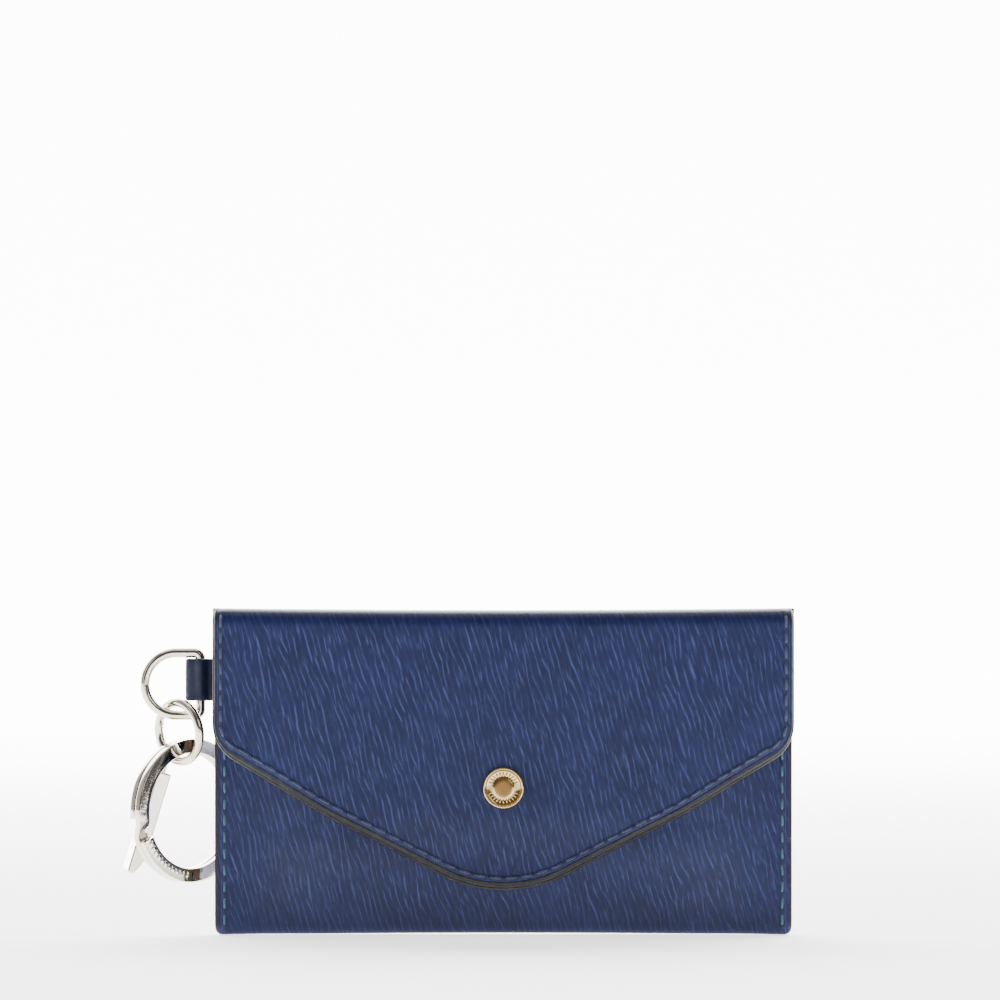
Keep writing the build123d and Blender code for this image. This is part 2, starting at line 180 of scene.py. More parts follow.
def swept(name, path, out, normal, profile, materials, closed=False, widths=None, values=None,
          smooth_angle=40):
    """A bar with a closed profile of (outward, along the normal) points, carried along a path."""
    path, out, normal = (np.asarray(v, float) for v in (path, out, normal))
    profile = np.asarray(profile, float)
    count, around = len(path), len(profile)
    widths = np.ones(count) if widths is None else np.asarray(widths, float)
    across = profile[None, :, 0] * widths[:, None]
    points = (path[:, None, :] + out[:, None, :] * across[..., None]
              + normal[:, None, :] * profile[None, :, 1, None])
    index = np.arange(count * around).reshape(count, around)
    following = np.roll(index, -1, 0) if closed else index[1:]
    first = index if closed else index[:-1]
    quads = np.stack([first, np.roll(first, -1, 1), np.roll(following, -1, 1), following], -1).reshape(-1, 4)
    faces = [tuple(q) for q in quads]
    if not closed:
        faces += [tuple(index[0, ::-1]), tuple(index[-1])]
    piece = mesh_piece(name, points.reshape(-1, 3), faces, materials, None, smooth_angle, values)
    turn_outwards(piece)
    return piece


def turn_outwards(piece):
    """Points every face of a closed mesh outwards."""
    work = bmesh.new()
    work.from_mesh(piece.data)
    bmesh.ops.recalc_face_normals(work, faces=work.faces)
    work.to_mesh(piece.data)
    work.free()
    piece.data.update()


def turned(name, profile, centre, axis_x, axis_y, axis, material, steps=96, smooth_angle=30):
    """A lathe piece: (radius, height) points turned about an axis, closed at both poles."""
    centre, axis_x, axis_y, axis = (np.asarray(v, float) for v in (centre, axis_x, axis_y, axis))
    angles = np.linspace(0, 2 * pi, steps, endpoint=False)
    ring = np.cos(angles)[:, None] * axis_x + np.sin(angles)[:, None] * axis_y
    points, faces = [centre + axis * profile[0][1]], []
    for radius, height in profile[1:-1]:
        points += list(centre + ring * radius + axis * height)
    points.append(centre + axis * profile[-1][1])
    rings = len(profile) - 2
    last = len(points) - 1
    for k in range(steps):
        n = (k + 1) % steps
        faces.append((0, 1 + k, 1 + n))
        for r in range(rings - 1):
            a, b = 1 + r * steps, 1 + (r + 1) * steps
            faces.append((a + k, b + k, b + n, a + n))
        a = 1 + (rings - 1) * steps
        faces.append((a + n, a + k, last))
    piece = mesh_piece(name, points, faces, [material], None, smooth_angle)
    turn_outwards(piece)
    return piece


def rounded_section(half_out, half_along, radius, steps=4):
    """A rectangle's outline with rounded corners, as (outward, along) points."""
    section = []
    for corner, (sx, sy) in enumerate(((1, 1), (-1, 1), (-1, -1), (1, -1))):
        for k in range(steps + 1):
            angle = radians(90 * corner + 90 * k / steps)
            section.append((sx * (half_out - radius) + radius * cos(angle),
                            sy * (half_along - radius) + radius * sin(angle)))
    return section


def round_section(radius, steps=20):
    return [(radius * cos(2 * pi * k / steps), radius * sin(2 * pi * k / steps)) for k in range(steps)]


# ------------------------------------------------------------------ how the leather lies


def belly(x):
    """1 in the middle of the wallet and 0 where the side seams flatten it."""
    return ease((SEAM_END - np.abs(x)) / (SEAM_END - SEAM_START + 6))


def pouch_swell(x, z):
    return belly(x) * (0.30 + 0.70 * ease((z + 2) / 22))


def front_depth(x, z):
    return HALF_SEAM + (HALF_DEPTH - HALF_SEAM) * pouch_swell(x, z)


def fold_back(x):
    return 2.6 + (HALF_DEPTH - 2.6) * belly(x)


def back_depth(x, z):
    body = HALF_SEAM + (HALF_DEPTH - HALF_SEAM) * pouch_swell(x, z)
    top = HALF_SEAM + (HALF_DEPTH - HALF_SEAM) * belly(x)
    return body + (fold_back(x) - top) * ease((z - 48) / 15)


def base_height(x):
    corner = np.clip(np.abs(x) - (HALF_WIDTH - CORNER_RADIUS), 0, CORNER_RADIUS)
    rounded = CORNER_RADIUS - np.sqrt(np.maximum(CORNER_RADIUS ** 2 - corner ** 2, 0))
    return rounded + BASE_RISE * np.clip(1 - (x / HALF_WIDTH) ** 2, 0, 1)


def top_height(x):
    return TOP - TOP_DIP * np.clip(1 - (x / HALF_WIDTH) ** 2, 0, 1)


def flap_front(x, z):
    return FLAP_FACE + FLAP_LEAN * (np.abs(x) / HALF_WIDTH) ** 2.6 + TIP_LEAN * ease((26 - z) / 12)


def pouch_section(x, stations=(64, 9, 6)):
    """The pouch's outer face at each x: down the front, round the base and up the back, as y and z grids."""
    x = np.asarray(x, float)[:, None]
    down, bend, flat = stations
    rise = base_height(x)
    start = rise + BASE_RADIUS
    radius = np.minimum(BASE_RADIUS, front_depth(x, start) - 0.04)
    y_front = -front_depth(x, start)
    t = np.linspace(0, 1, down)[None, :]
    z_down = FRONT_TOP + (start - FRONT_TOP) * t
    parts = [(-front_depth(x, z_down), z_down)]
    angle = np.linspace(0, pi / 2, bend)[None, 1:]
    y_bend, z_bend = y_front + radius * (1 - np.cos(angle)), rise + BASE_RADIUS * (1 - np.sin(angle))
    parts.append((y_bend, z_bend))
    t = np.linspace(0, 1, flat)[None, 1:-1]
    parts.append(((y_front + radius) * (1 - 2 * t), rise + 0 * t))
    parts.append((-y_bend[:, ::-1], z_bend[:, ::-1]))
    t = np.linspace(0, 1, down)[None, :]
    z_up = start + (BACK_JOIN - start) * t
    parts.append((back_depth(x, z_up), z_up))
    y = np.concatenate([np.broadcast_to(p[0], p[1].shape) if p[0].shape != p[1].shape else p[0]
                        for p in parts], 1)
    z = np.concatenate([np.broadcast_to(p[1], p[0].shape) if p[0].shape != p[1].shape else p[1]
                        for p in parts], 1)
    return y, z


def inside(y, z, depth):
    """Moves a section's points in from the leather's outer face."""
    dy, dz = np.gradient(y, axis=1), np.gradient(z, axis=1)
    size = np.maximum(np.hypot(dy, dz), 1e-9)
    return y - dz / size * depth, z + dy / size * depth


def strip(x, s):
    """The fold and flap's outer face, by the distance s along the leather from the fold's middle: it grows
    over the front and down the flap, and is negative down the back."""
    x, s = np.broadcast_arrays(np.asarray(x, float), np.asarray(s, float))
    top = top_height(x)
    y_front = flap_front(x, top)
    flat = FOLD_MIDDLE - (y_front + FRONT_BEND)
    bend = FRONT_BEND * pi / 2
    angle = np.clip((s - flat) / FRONT_BEND, 0, pi / 2)
    fall = np.maximum(s - flat - bend, 0)
    z = np.where(s <= flat, top, top - FRONT_BEND * (1 - np.cos(angle)) - fall)
    y = np.where(s <= flat, FOLD_MIDDLE - s, y_front + FRONT_BEND * (1 - np.sin(angle)))
    y = np.where(fall > 0, flap_front(x, z), y)
    back = fold_back(x)
    u = -s
    flat = back - BACK_BEND - FOLD_MIDDLE
    bend = BACK_BEND * pi / 2
    angle = np.clip((u - flat) / BACK_BEND, 0, pi / 2)
    fall = np.maximum(u - flat - bend, 0)
    z_back = np.where(u <= flat, top, top - BACK_BEND * (1 - np.cos(angle)) - fall)
    y_back = np.where(u <= flat, FOLD_MIDDLE + u, back - BACK_BEND * (1 - np.sin(angle)))
    y_back = np.where(fall > 0, back_depth(x, z_back), y_back)
    return np.where(s < 0, y_back, y), np.where(s < 0, z_back, z)


def strip_normal(x, s):
    y1, z1 = strip(x, s - 0.05)
    y2, z2 = strip(x, s + 0.05)
    dy, dz = y2 - y1, z2 - z1
    size = np.maximum(np.hypot(dy, dz), 1e-9)
    return dz / size, -dy / size


def strip_grid(x, s, depth=0.0):
    x, s = np.broadcast_arrays(np.asarray(x, float), np.asarray(s, float))
    y, z = strip(x, s)
    ny, nz = strip_normal(x, s)
    return np.stack([x, y - ny * depth, z - nz * depth], -1)


def back_length(x):
    """How far down the back the fold's strip reaches, to where it joins the pouch."""
    flat = fold_back(x) - BACK_BEND - FOLD_MIDDLE
    return flat + BACK_BEND * pi / 2 + top_height(x) - BACK_BEND - BACK_JOIN


def front_length(x, z):
    """The strip's distance from the fold's middle down to a height on the flap."""
    flat = FOLD_MIDDLE - (flap_front(x, top_height(x)) + FRONT_BEND)
    return flat + FRONT_BEND * pi / 2 + top_height(x) - FRONT_BEND - z


# ------------------------------------------------------------------ the flap's outline


def corner_arc(before, corner, after, radius, steps):
    """Points of the arc that rounds one corner of an outline."""
    before, corner, after = (np.array(p, float) for p in (before, corner, after))
    u, v = before - corner, after - corner
    u /= np.linalg.norm(u)
    v /= np.linalg.norm(v)
    half = np.arccos(np.clip(u @ v, -1, 1)) / 2
    centre = corner + (u + v) / np.linalg.norm(u + v) * radius / sin(half)
    first, last = corner + u * radius / tan(half), corner + v * radius / tan(half)
    a, b = first - centre, last - centre
    start, turn = np.arctan2(a[1], a[0]), np.arctan2(a[0] * b[1] - a[1] * b[0], a @ b)
    angles = start + turn * np.linspace(0, 1, steps)
    return centre + radius * np.stack([np.cos(angles), np.sin(angles)], 1)


def right_half_outline():
    """The flap's outline from its right side's corner to its tip, as x and z."""
    reach = SIDE_CORNER_RADIUS * tan(radians(90 - UPPER_SLOPE) / 2)
    corner = (FLAP_HALF, SIDE_CORNER - reach)
    knee = (KNEE_X, corner[1] - (FLAP_HALF - KNEE_X) * tan(radians(UPPER_SLOPE)))
    point = (0.0, knee[1] - KNEE_X * tan(radians(LOWER_SLOPE)))
    mirrored = (-knee[0], knee[1])
    side = corner_arc((FLAP_HALF, TOP), corner, knee, SIDE_CORNER_RADIUS, 24)
    bend = corner_arc(corner, knee, point, KNEE_RADIUS, 16)
    tip = corner_arc(knee, point, mirrored, TIP_RADIUS, 41)[:21]
    return np.concatenate([side, bend, tip])


def even_steps(points, step):
    """Points at an even step along a line of points."""
    points = np.asarray(points, float)
    lengths = np.concatenate([[0], np.cumsum(np.linalg.norm(np.diff(points, axis=0), axis=1))])
    places = np.linspace(0, lengths[-1], int(round(lengths[-1] / step)) + 1)
    return np.stack([np.interp(places, lengths, points[:, k]) for k in range(points.shape[1])], 1)


def flap_outline(step=0.6):
    """The flap's whole edge in the strip's own (x, distance) terms, from the fold's middle on the left, down
    round the tip and up to the fold's middle on the right."""
    half = right_half_outline()
    whole = np.concatenate([(half * [-1, 1]), half[::-1][1:]])
    distance = front_length(whole[:, 0], whole[:, 1])
    flat = np.stack([whole[:, 0], distance], 1)
    start, end = np.array([[-FLAP_HALF, 0.0]]), np.array([[FLAP_HALF, 0.0]])
    return even_steps(np.concatenate([start, flat, end]), step)


def inset_line(line, amount):
    """Moves the outline inwards, by an amount for each point, in the strip's flat terms."""
    along = np.gradient(line, axis=0)
    along /= np.maximum(np.linalg.norm(along, axis=1, keepdims=True), 1e-9)
    inward = np.stack([along[:, 1], -along[:, 0]], 1)
    return line + inward * np.asarray(amount)[:, None], inward


outline = flap_outline()
_, outline_inward = inset_line(outline, np.zeros(len(outline)))
sidedness = ease((np.abs(outline_inward[:, 0]) - 0.55) / 0.45)
edge_widths = EDGE_WIDTH + (EDGE_WIDTH_SIDE - EDGE_WIDTH) * sidedness
stitch_insets = STITCH_INSET + (STITCH_INSET_SIDE - STITCH_INSET) * sidedness
stitch_line, _ = inset_line(outline, stitch_insets)
stitch_lengths = np.concatenate([[0], np.cumsum(np.linalg.norm(np.diff(stitch_line, axis=0), axis=1))])


def beside_stitches(x, s):
    """For points of the flap: how far inside the stitch line they are, and how far along it."""
    shape = x.shape
    flat = np.stack([x.ravel(), s.ravel()], 1)
    distance, along = np.empty(len(flat)), np.empty(len(flat))
    for k in range(0, len(flat), 4000):
        gap = flat[k:k + 4000, None, :] - stitch_line[None]
        nearest = (gap ** 2).sum(2).argmin(1)
        pick = gap[np.arange(len(nearest)), nearest]
        inward = outline_inward[nearest]
        distance[k:k + 4000] = (pick * inward).sum(1)
        near = np.hypot(pick[:, 0], pick[:, 1])
        far = near > 2.0
        distance[k:k + 4000][far] = np.sign(distance[k:k + 4000][far]) * near[far]
        along[k:k + 4000] = stitch_lengths[nearest]
    return distance.reshape(shape), along.reshape(shape)


# ------------------------------------------------------------------ finishes


class Finish:
    """A material's nodes, wired by name."""

    def __init__(self, name):
        self.material = bpy.data.materials.new(name)
        self.material.use_nodes = True
        self.tree = self.material.node_tree
        self.surface = self.tree.nodes["Principled BSDF"]

    def node(self, kind, **settings):
        made = self.tree.nodes.new(kind)
        for key, value in settings.items():
            if hasattr(made, key):
                setattr(made, key, value)
            else:
                raise AttributeError(kind + " has no " + key)
        return made

    def feed(self, socket, value):
        if isinstance(value, bpy.types.NodeSocket):
            self.tree.links.new(value, socket)
        else:
            socket.default_value = value

    def sum(self, operation, *values, clamp=False):
        made = self.node("ShaderNodeMath", operation=operation, use_clamp=clamp)
        for socket, value in zip(made.inputs, values):
            self.feed(socket, value)
        return made.outputs[0]

    def ramp(self, value, low, high, to_low=0.0, to_high=1.0):
        made = self.node("ShaderNodeMapRange", interpolation_type="SMOOTHSTEP")
        for socket, number in zip(made.inputs, (value, low, high, to_low, to_high)):
            self.feed(socket, number)
        return made.outputs[0]

    def mixed(self, share, first, second):
        made = self.node("ShaderNodeMix", data_type="RGBA")
        self.feed(made.inputs[0], share)
        self.feed(made.inputs[6], first)
        self.feed(made.inputs[7], second)
        return made.outputs[2]

    def stored(self, name, vector=False):
        made = self.node("ShaderNodeAttribute", attribute_name=name)
        return made.outputs[1] if vector else made.outputs[2]

    def placed(self, vector, scale=(1, 1, 1), turn=0.0, shift=(0, 0, 0)):
        made = self.node("ShaderNodeMapping", vector_type="POINT")
        self.feed(made.inputs[0], vector)
        self.feed(made.inputs[1], shift)
        self.feed(made.inputs[2], (0, 0, radians(turn)))
        self.feed(made.inputs[3], scale)
        return made.outputs[0]

    def noise(self, vector, scale, detail=2.0, roughness=0.5, distortion=0.0):
        made = self.node("ShaderNodeTexNoise")
        self.feed(made.inputs["Vector"], vector)
        self.feed(made.inputs["Scale"], scale)
        self.feed(made.inputs["Detail"], detail)
        self.feed(made.inputs["Roughness"], roughness)
        self.feed(made.inputs["Distortion"], distortion)
        return made.outputs[0]

    def relief(self, height, depth_mm, strength=1.0):
        made = self.node("ShaderNodeBump")
        self.feed(made.inputs["Strength"], strength)
        self.feed(made.inputs["Distance"], depth_mm * MM)
        self.feed(made.inputs["Height"], height)
        self.feed(self.surface.inputs["Normal"], made.outputs[0])

    def place_mm(self):
        """Place on the object, in millimetres."""
        where = self.node("ShaderNodeTexCoord").outputs["Object"]
        made = self.node("ShaderNodeVectorMath", operation="SCALE")
        self.feed(made.inputs[0], where)
        self.feed(made.inputs["Scale"], 1000.0)
        return made.outputs[0]

    def set(self, **values):
        for key, value in values.items():
            self.feed(self.surface.inputs[key.replace("_", " ")], value)
        return self


def colour(red, green, blue):
    """An opaque colour from its everyday 0 to 255 values."""
    def line(c):
        c /= 255
        return c / 12.92 if c < 0.04045 else ((c + 0.055) / 1.055) ** 2.4
    return (line(red), line(green), line(blue), 1.0)


BLUE = colour(18, 26, 65)
BLUE_DEEP = colour(13, 21, 56)
# A paler blue: the grain's own pale lines, and painted highlights on ridges and creases
BLUE_PALE_AND_HIGHLIGHT = colour(62, 74, 130)
EDGE_DARK = colour(20, 20, 18)
EDGE_PALE = colour(42, 40, 34)


def ripple_leather():
    """Glazed leather embossed with long fine ripples that part and meet."""
    f = Finish("ripple leather")
    where = f.stored("strip", vector=True)
    grain = f.stored("grain")

    def ripples(turn, spacing, sway_scale, sway, shift):
        """Fine raised lines side by side, swaying a little and fading in and out along their length."""
        lengthwise = f.placed(where, turn=turn, shift=(shift, 2.3 * shift, 0))
        across = f.node("ShaderNodeSeparateXYZ")
        f.feed(across.inputs[0], lengthwise)
        swaying = f.noise(f.placed(lengthwise, scale=(sway_scale, 0.075, 1.0)), 1.0, 1.5, 0.4)
        moved = f.sum("ADD", across.outputs[0], f.sum("MULTIPLY", f.sum("SUBTRACT", swaying, 0.5), sway))
        wave = f.sum("COSINE", f.sum("MULTIPLY", moved, 2 * pi / spacing))
        fade = f.noise(f.placed(lengthwise, scale=(0.75 / spacing, 0.20, 1.0)), 1.0, 1.0, 0.5)
        return f.sum("MULTIPLY", f.ramp(wave, 0.48, 1.0), f.ramp(fade, 0.36, 0.60, 0.15, 1.0))

    first = ripples(12.5, 1.16, 0.20, 2.6, 3.0)
    second = ripples(19.0, 1.34, 0.16, 3.0, 47.0)
    turns = f.noise(f.placed(where, turn=15.0, scale=(0.30, 0.13, 1.0)), 1.0, 2.0, 0.5)
    share = f.ramp(turns, 0.42, 0.58)
    ridge = f.sum("MAXIMUM", f.sum("MULTIPLY", first, f.sum("SUBTRACT", 1.0, share)),
                  f.sum("MULTIPLY", second, share))
    ridge = f.sum("MULTIPLY", ridge, grain)
    grainwise = f.placed(where, turn=15.0)
    streaks = f.noise(f.placed(grainwise, scale=(1 / 0.42, 1 / 5.0, 1.0)), 1.0, 2.0, 0.55)
    pores = f.noise(where, 4.2, 3.0, 0.6)
    pull = f.noise(where, 0.09, 3.0, 0.5)

    rim = f.stored("rim")
    groove_and_shade = f.ramp(f.sum("ABSOLUTE", rim), 0.0, 0.55, 1.0, 0.0)
    crease_and_highlight = f.ramp(f.sum("ABSOLUTE", f.sum("ADD", rim, 0.72)), 0.0, 0.22, 1.0, 0.0)
    along = f.stored("along")
    pucker = f.sum("COSINE", f.sum("MULTIPLY", along, 2 * pi / FLAP_PITCH))
    pucker = f.sum("MULTIPLY", pucker, f.ramp(f.sum("ABSOLUTE", rim), 0.2, 1.6, 1.0, 0.0))

    height = f.sum("MULTIPLY", ridge, 0.62)
    height = f.sum("ADD", height, f.sum("MULTIPLY", streaks, 0.30))
    height = f.sum("ADD", height, f.sum("MULTIPLY", pores, 0.13))
    height = f.sum("SUBTRACT", height, f.sum("MULTIPLY", groove_and_shade, 0.9))
    height = f.sum("ADD", height, f.sum("MULTIPLY", crease_and_highlight, 0.35))
    height = f.sum("ADD", height, f.sum("MULTIPLY", pucker, 0.16))
    f.relief(height, 0.16)

    base = f.mixed(f.ramp(pull, 0.3, 0.7), BLUE_DEEP, BLUE)
    # Raised ripples and streaks are paler: partly the grain's own tone, partly a painted highlight on their
    # crests
    base = f.mixed(f.sum("MULTIPLY", ridge, 0.60, clamp=True), base, BLUE_PALE_AND_HIGHLIGHT)
    base = f.mixed(f.sum("MULTIPLY", f.ramp(streaks, 0.52, 0.72), 0.18), base, BLUE_PALE_AND_HIGHLIGHT)
    # Painted highlight: a light line along the raised crease beside the stitch line
    base = f.mixed(f.sum("MULTIPLY", crease_and_highlight, 0.26), base, BLUE_PALE_AND_HIGHLIGHT)
    # Painted shade: darker blue down the groove at the stitch line
    base = f.mixed(f.sum("MULTIPLY", groove_and_shade, 0.45), base, colour(30, 38, 72))
    painted = f.ramp(f.stored("cut"), 0.38, 0.50, 1.0, 0.0)
    base = f.mixed(painted, base, colour(46, 37, 30))
    rough = f.sum("ADD", f.sum("MULTIPLY", pores, 0.10), 0.36)
    rough = f.sum("SUBTRACT", rough, f.sum("MULTIPLY", ridge, 0.06))
    f.set(Base_Color=base, Roughness=rough)
    f.surface.inputs["Specular IOR Level"].default_value = 0.22
    return f.material


def smooth_leather(name, main, deep, scale=1.0):
    """Plain dyed leather with fine pores and a soft gloss."""
    f = Finish(name)
    where = f.place_mm()
    cells = f.node("ShaderNodeTexVoronoi", feature="DISTANCE_TO_EDGE")
    f.feed(cells.inputs["Vector"], where)
    f.feed(cells.inputs["Scale"], 3.4 * scale)
    pebble = f.ramp(cells.outputs["Distance"], 0.0, 0.18)
    pores = f.noise(where, 5.0 * scale, 3.0, 0.6)
    cloud = f.noise(where, 0.25, 3.0)
    height = f.sum("ADD", f.sum("MULTIPLY", pebble, 0.5), f.sum("MULTIPLY", pores, 0.4))
    f.relief(height, 0.05)
    base = f.mixed(f.ramp(cloud, 0.35, 0.68), deep, main)
    # Painted shade: darker in the hollows between the pebbles
    base = f.mixed(f.sum("MULTIPLY", f.sum("SUBTRACT", 1.0, pebble), 0.35), base, deep)
    f.set(Base_Color=base, Roughness=f.sum("ADD", f.sum("MULTIPLY", pores, 0.16), 0.40))
    f.surface.inputs["Specular IOR Level"].default_value = 0.3
    return f.material


def painted_edge(name, dark, pale):
    """Burnished edge paint, brushed on along the edge, a little uneven and glossy."""
    f = Finish(name)
    where = f.place_mm()
    brushed = f.noise(f.placed(where, scale=(0.5, 3.2, 0.5)), 1.0, 4.0, 0.65)
    blobs = f.noise(where, 0.9, 3.0, 0.5)
    height = f.sum("ADD", f.sum("MULTIPLY", brushed, 0.6), f.sum("MULTIPLY", blobs, 0.6))
    f.relief(height, 0.10)
    share = f.ramp(f.sum("ADD", f.sum("MULTIPLY", brushed, 0.6), f.sum("MULTIPLY", blobs, 0.4)), 0.38, 0.66)
    f.set(Base_Color=f.mixed(share, dark, pale),
          Roughness=f.ramp(blobs, 0.3, 0.7, 0.34, 0.50))
    f.surface.inputs["Specular IOR Level"].default_value = 0.3
    return f.material


def spun_thread(name, main, deep):
    """Waxed thread, with the slant of its twist, and painted shade where the twist sinks."""
    f = Finish(name)
    where = f.stored("twist", vector=True)
    wave = f.node("ShaderNodeTexWave", wave_type="BANDS", bands_direction="X")
    f.feed(wave.inputs["Vector"], f.placed(where, turn=35.0))
    f.feed(wave.inputs["Scale"], 0.9)
    f.feed(wave.inputs["Distortion"], 0.6)
    twist = wave.outputs["Fac"]
    fuzz = f.noise(f.place_mm(), 9.0, 2.0)
    f.relief(f.sum("ADD", twist, f.sum("MULTIPLY", fuzz, 0.4)), 0.05)
    # Painted shade: darker colour where the twist's relief is low
    f.set(Base_Color=f.mixed(twist, deep, main), Roughness=f.ramp(fuzz, 0.3, 0.7, 0.45, 0.62))
    f.surface.inputs["Sheen Weight"].default_value = 0.15
    return f.material


def twill(name, main, deep):
    """Fine woven lining cloth."""
    f = Finish(name)
    where = f.stored("weave", vector=True)
    diagonal = f.node("ShaderNodeTexWave", wave_type="BANDS", bands_direction="DIAGONAL")
    f.feed(diagonal.inputs["Vector"], where)
    f.feed(diagonal.inputs["Scale"], 1.1)
    threads = f.node("ShaderNodeTexWave", wave_type="BANDS", bands_direction="X")
    f.feed(threads.inputs["Vector"], where)
    f.feed(threads.inputs["Scale"], 1.9)
    slub = f.noise(f.placed(where, scale=(3.0, 0.4, 1)), 1.0, 3.0)
    height = f.sum("ADD", diagonal.outputs["Fac"], f.sum("MULTIPLY", threads.outputs["Fac"], 0.5))
    f.relief(height, 0.06)
    # Painted shade: darker along the low lines of the diagonal weave
    base = f.mixed(diagonal.outputs["Fac"], deep, main)
    base = f.mixed(f.ramp(slub, 0.45, 0.75, 0.0, 0.35), base, deep)
    f.set(Base_Color=base, Roughness=f.ramp(slub, 0.3, 0.7, 0.62, 0.80))
    f.surface.inputs["Sheen Weight"].default_value = 0.25
    return f.material


def polished_metal(name, main, deep, rough=0.10, tarnish=0.12):
    """Polished plating with faint clouding and fine wear scratches."""
    f = Finish(name)
    where = f.place_mm()
    cloud = f.noise(where, 0.45, 3.0)
    scratch_a = f.noise(f.placed(where, scale=(0.8, 6.0, 14.0), turn=20), 1.0, 2.0, 0.7)
    scratch_b = f.noise(f.placed(where, scale=(12.0, 5.0, 0.9), turn=-35), 1.0, 2.0, 0.7)
    scratches = f.sum("MAXIMUM", f.ramp(scratch_a, 0.66, 0.74), f.ramp(scratch_b, 0.66, 0.74))
    dimples = f.noise(where, 1.1, 1.0)
    f.relief(f.sum("SUBTRACT", f.sum("MULTIPLY", dimples, 0.5), f.sum("MULTIPLY", scratches, 0.12)), 0.02)
    wear = f.ramp(f.noise(where, 0.9, 4.0, 0.6), 0.45, 0.75, 0.0, tarnish)
    f.set(Base_Color=f.mixed(wear, main, deep))
    f.set(Roughness=f.sum("ADD", f.ramp(cloud, 0.3, 0.7, rough * 0.7, rough * 1.4),
                          f.sum("MULTIPLY", scratches, 0.10)))
    f.surface.inputs["Metallic"].default_value = 1.0
    return f.material


def painted_hole_shade():
    """Painted shade: the dark put on the small discs at the stitch holes."""
    f = Finish("needle hole shade")
    where = f.place_mm()
    f.set(Base_Color=f.mixed(f.noise(where, 3.0), colour(8, 9, 18), colour(18, 20, 36)), Roughness=0.8)
    return f.material


RIPPLE = ripple_leather()
SMOOTH = smooth_leather("smooth leather", colour(24, 31, 60), colour(18, 24, 48))
FLAP_INSIDE = smooth_leather("flap inside leather", colour(34, 42, 80), colour(26, 32, 64), 0.8)
PAINT = painted_edge("edge paint", EDGE_DARK, EDGE_PALE)
PAINT_BROWN = painted_edge("seam edge paint", colour(38, 31, 26), colour(66, 52, 38))
NAVY_THREAD = spun_thread("navy thread", colour(44, 55, 92), colour(20, 25, 48))
TEAL_THREAD = spun_thread("teal thread", colour(58, 108, 128), colour(28, 58, 78))
LINING = twill("lining twill", colour(38, 44, 72), colour(24, 28, 50))
GOLD = polished_metal("pale gold plating", colour(200, 174, 124), colour(118, 88, 50), 0.12, 0.35)
# The snap's centre: a rougher gold, whose darker colour is a painted reflection
GOLD_DISC_PAINTED_REFLECTION = polished_metal("gold snap centre painted reflection", colour(132, 102, 62), colour(100, 76, 46), 0.34, 0.4)
NICKEL = polished_metal("polished nickel", colour(226, 218, 206), colour(168, 152, 132), 0.07, 0.25)
STEEL = polished_metal("snap steel", colour(176, 172, 166), colour(104, 98, 90), 0.26, 0.5)
HOLE_SHADE = painted_hole_shade()

# ------------------------------------------------------------------ the pouch


def side_columns(half, fine=0.35, coarse=1.0):
    """Places across the wallet, closer together near its sides."""
    middle = np.linspace(-half + 5, half - 5, int((2 * half - 10) / coarse) + 1)
    near = half - 5 + 5 * np.sin(np.linspace(0, pi / 2, int(5 / fine) + 1))[1:]
    return np.concatenate([-near[::-1], middle, near])


columns = side_columns(HALF_WIDTH)


def section_grid(x, y, z):
    return np.stack([np.broadcast_to(x[:, None], y.shape), y, z], -1)


def running_length(y, z):
    steps = np.hypot(np.diff(y, axis=1), np.diff(z, axis=1))
    return np.concatenate([np.zeros((len(y), 1)), np.cumsum(steps, 1)], 1)


y, z = pouch_section(columns)
x = np.broadcast_to(columns[:, None], y.shape)
length = running_length(y, z)
total = length[:, -1:]
down_strip = -(back_length(columns)[:, None] + (total - length))
near_base = ease((z - 1.0) / 8.0)
seam_zone = ease((HALF_WIDTH - np.abs(x) - 1.2) / 3.0)
values = {
    "strip": np.stack([x, down_strip, 0 * x], -1),
    "grain": (0.35 + 0.65 * near_base) * (0.45 + 0.55 * seam_zone),
    "rim": HALF_WIDTH - SEAM_INSET - np.abs(x),
    "along": z * FLAP_PITCH / SEAM_PITCH,
    "cut": HALF_WIDTH - np.abs(x),
}
face = section_grid(columns, y, z)
yi, zi = inside(y, z, LEATHER)
back = section_grid(columns, yi, zi)


def leather_from(name, face, back, values, rounded, edge=PAINT_BROWN, swell=0.24, inner=SMOOTH):
    """A leather panel whose rows run across the wallet."""
    return hide_sheet(name, face, back, [RIPPLE, inner, edge], rounded, swell, values)


pouch_leather = leather_from("pouch_leather", face, back, values, (1, 1, 1, 0))
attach(pouch_leather, "pouch")
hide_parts("leather_shell")

y1, z1 = inside(y, z, LEATHER + 0.03)
y2, z2 = inside(y, z, LEATHER + 0.31)
lining_columns = columns * (HALF_WIDTH - 0.15) / HALF_WIDTH
weave = {"weave": np.stack([x, length, 0 * x], -1)}
pouch_lining = hide_sheet("pouch_lining_cloth", section_grid(lining_columns, y1, z1),
                          section_grid(lining_columns, y2, z2), [LINING, LINING, PAINT_BROWN],
                          (1, 1, 0, 0), 0.05, weave)
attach(pouch_lining, "pouch")
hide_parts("pouch_lining")

# Card pocket: one open-topped layer on the back lining, its mouth hemmed
pocket_x = np.linspace(pocket_low[0], pocket_high[0], 70)
pocket_z = np.linspace(4.0, pocket_high[2], 34)
px, pz = np.meshgrid(pocket_x, pocket_z, indexing="ij")
outer_y = back_depth(px, pz) - LEATHER - 0.36
hem = 0.12 * ease((pz - (pocket_high[2] - 3.4)) / 0.4)
pocket = hide_sheet("card_pocket_cloth", np.stack([px, outer_y, pz], -1)[::-1],
                    np.stack([px, outer_y - 0.42 - hem, pz], -1)[::-1], [LINING, LINING, LINING],
                    (1, 1, 1, 1), 0.08, {"weave": np.stack([px, pz, 0 * px], -1)[::-1]})
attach(pocket, "pouch")
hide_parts("card_pocket")

# ------------------------------------------------------------------ the fold over the top

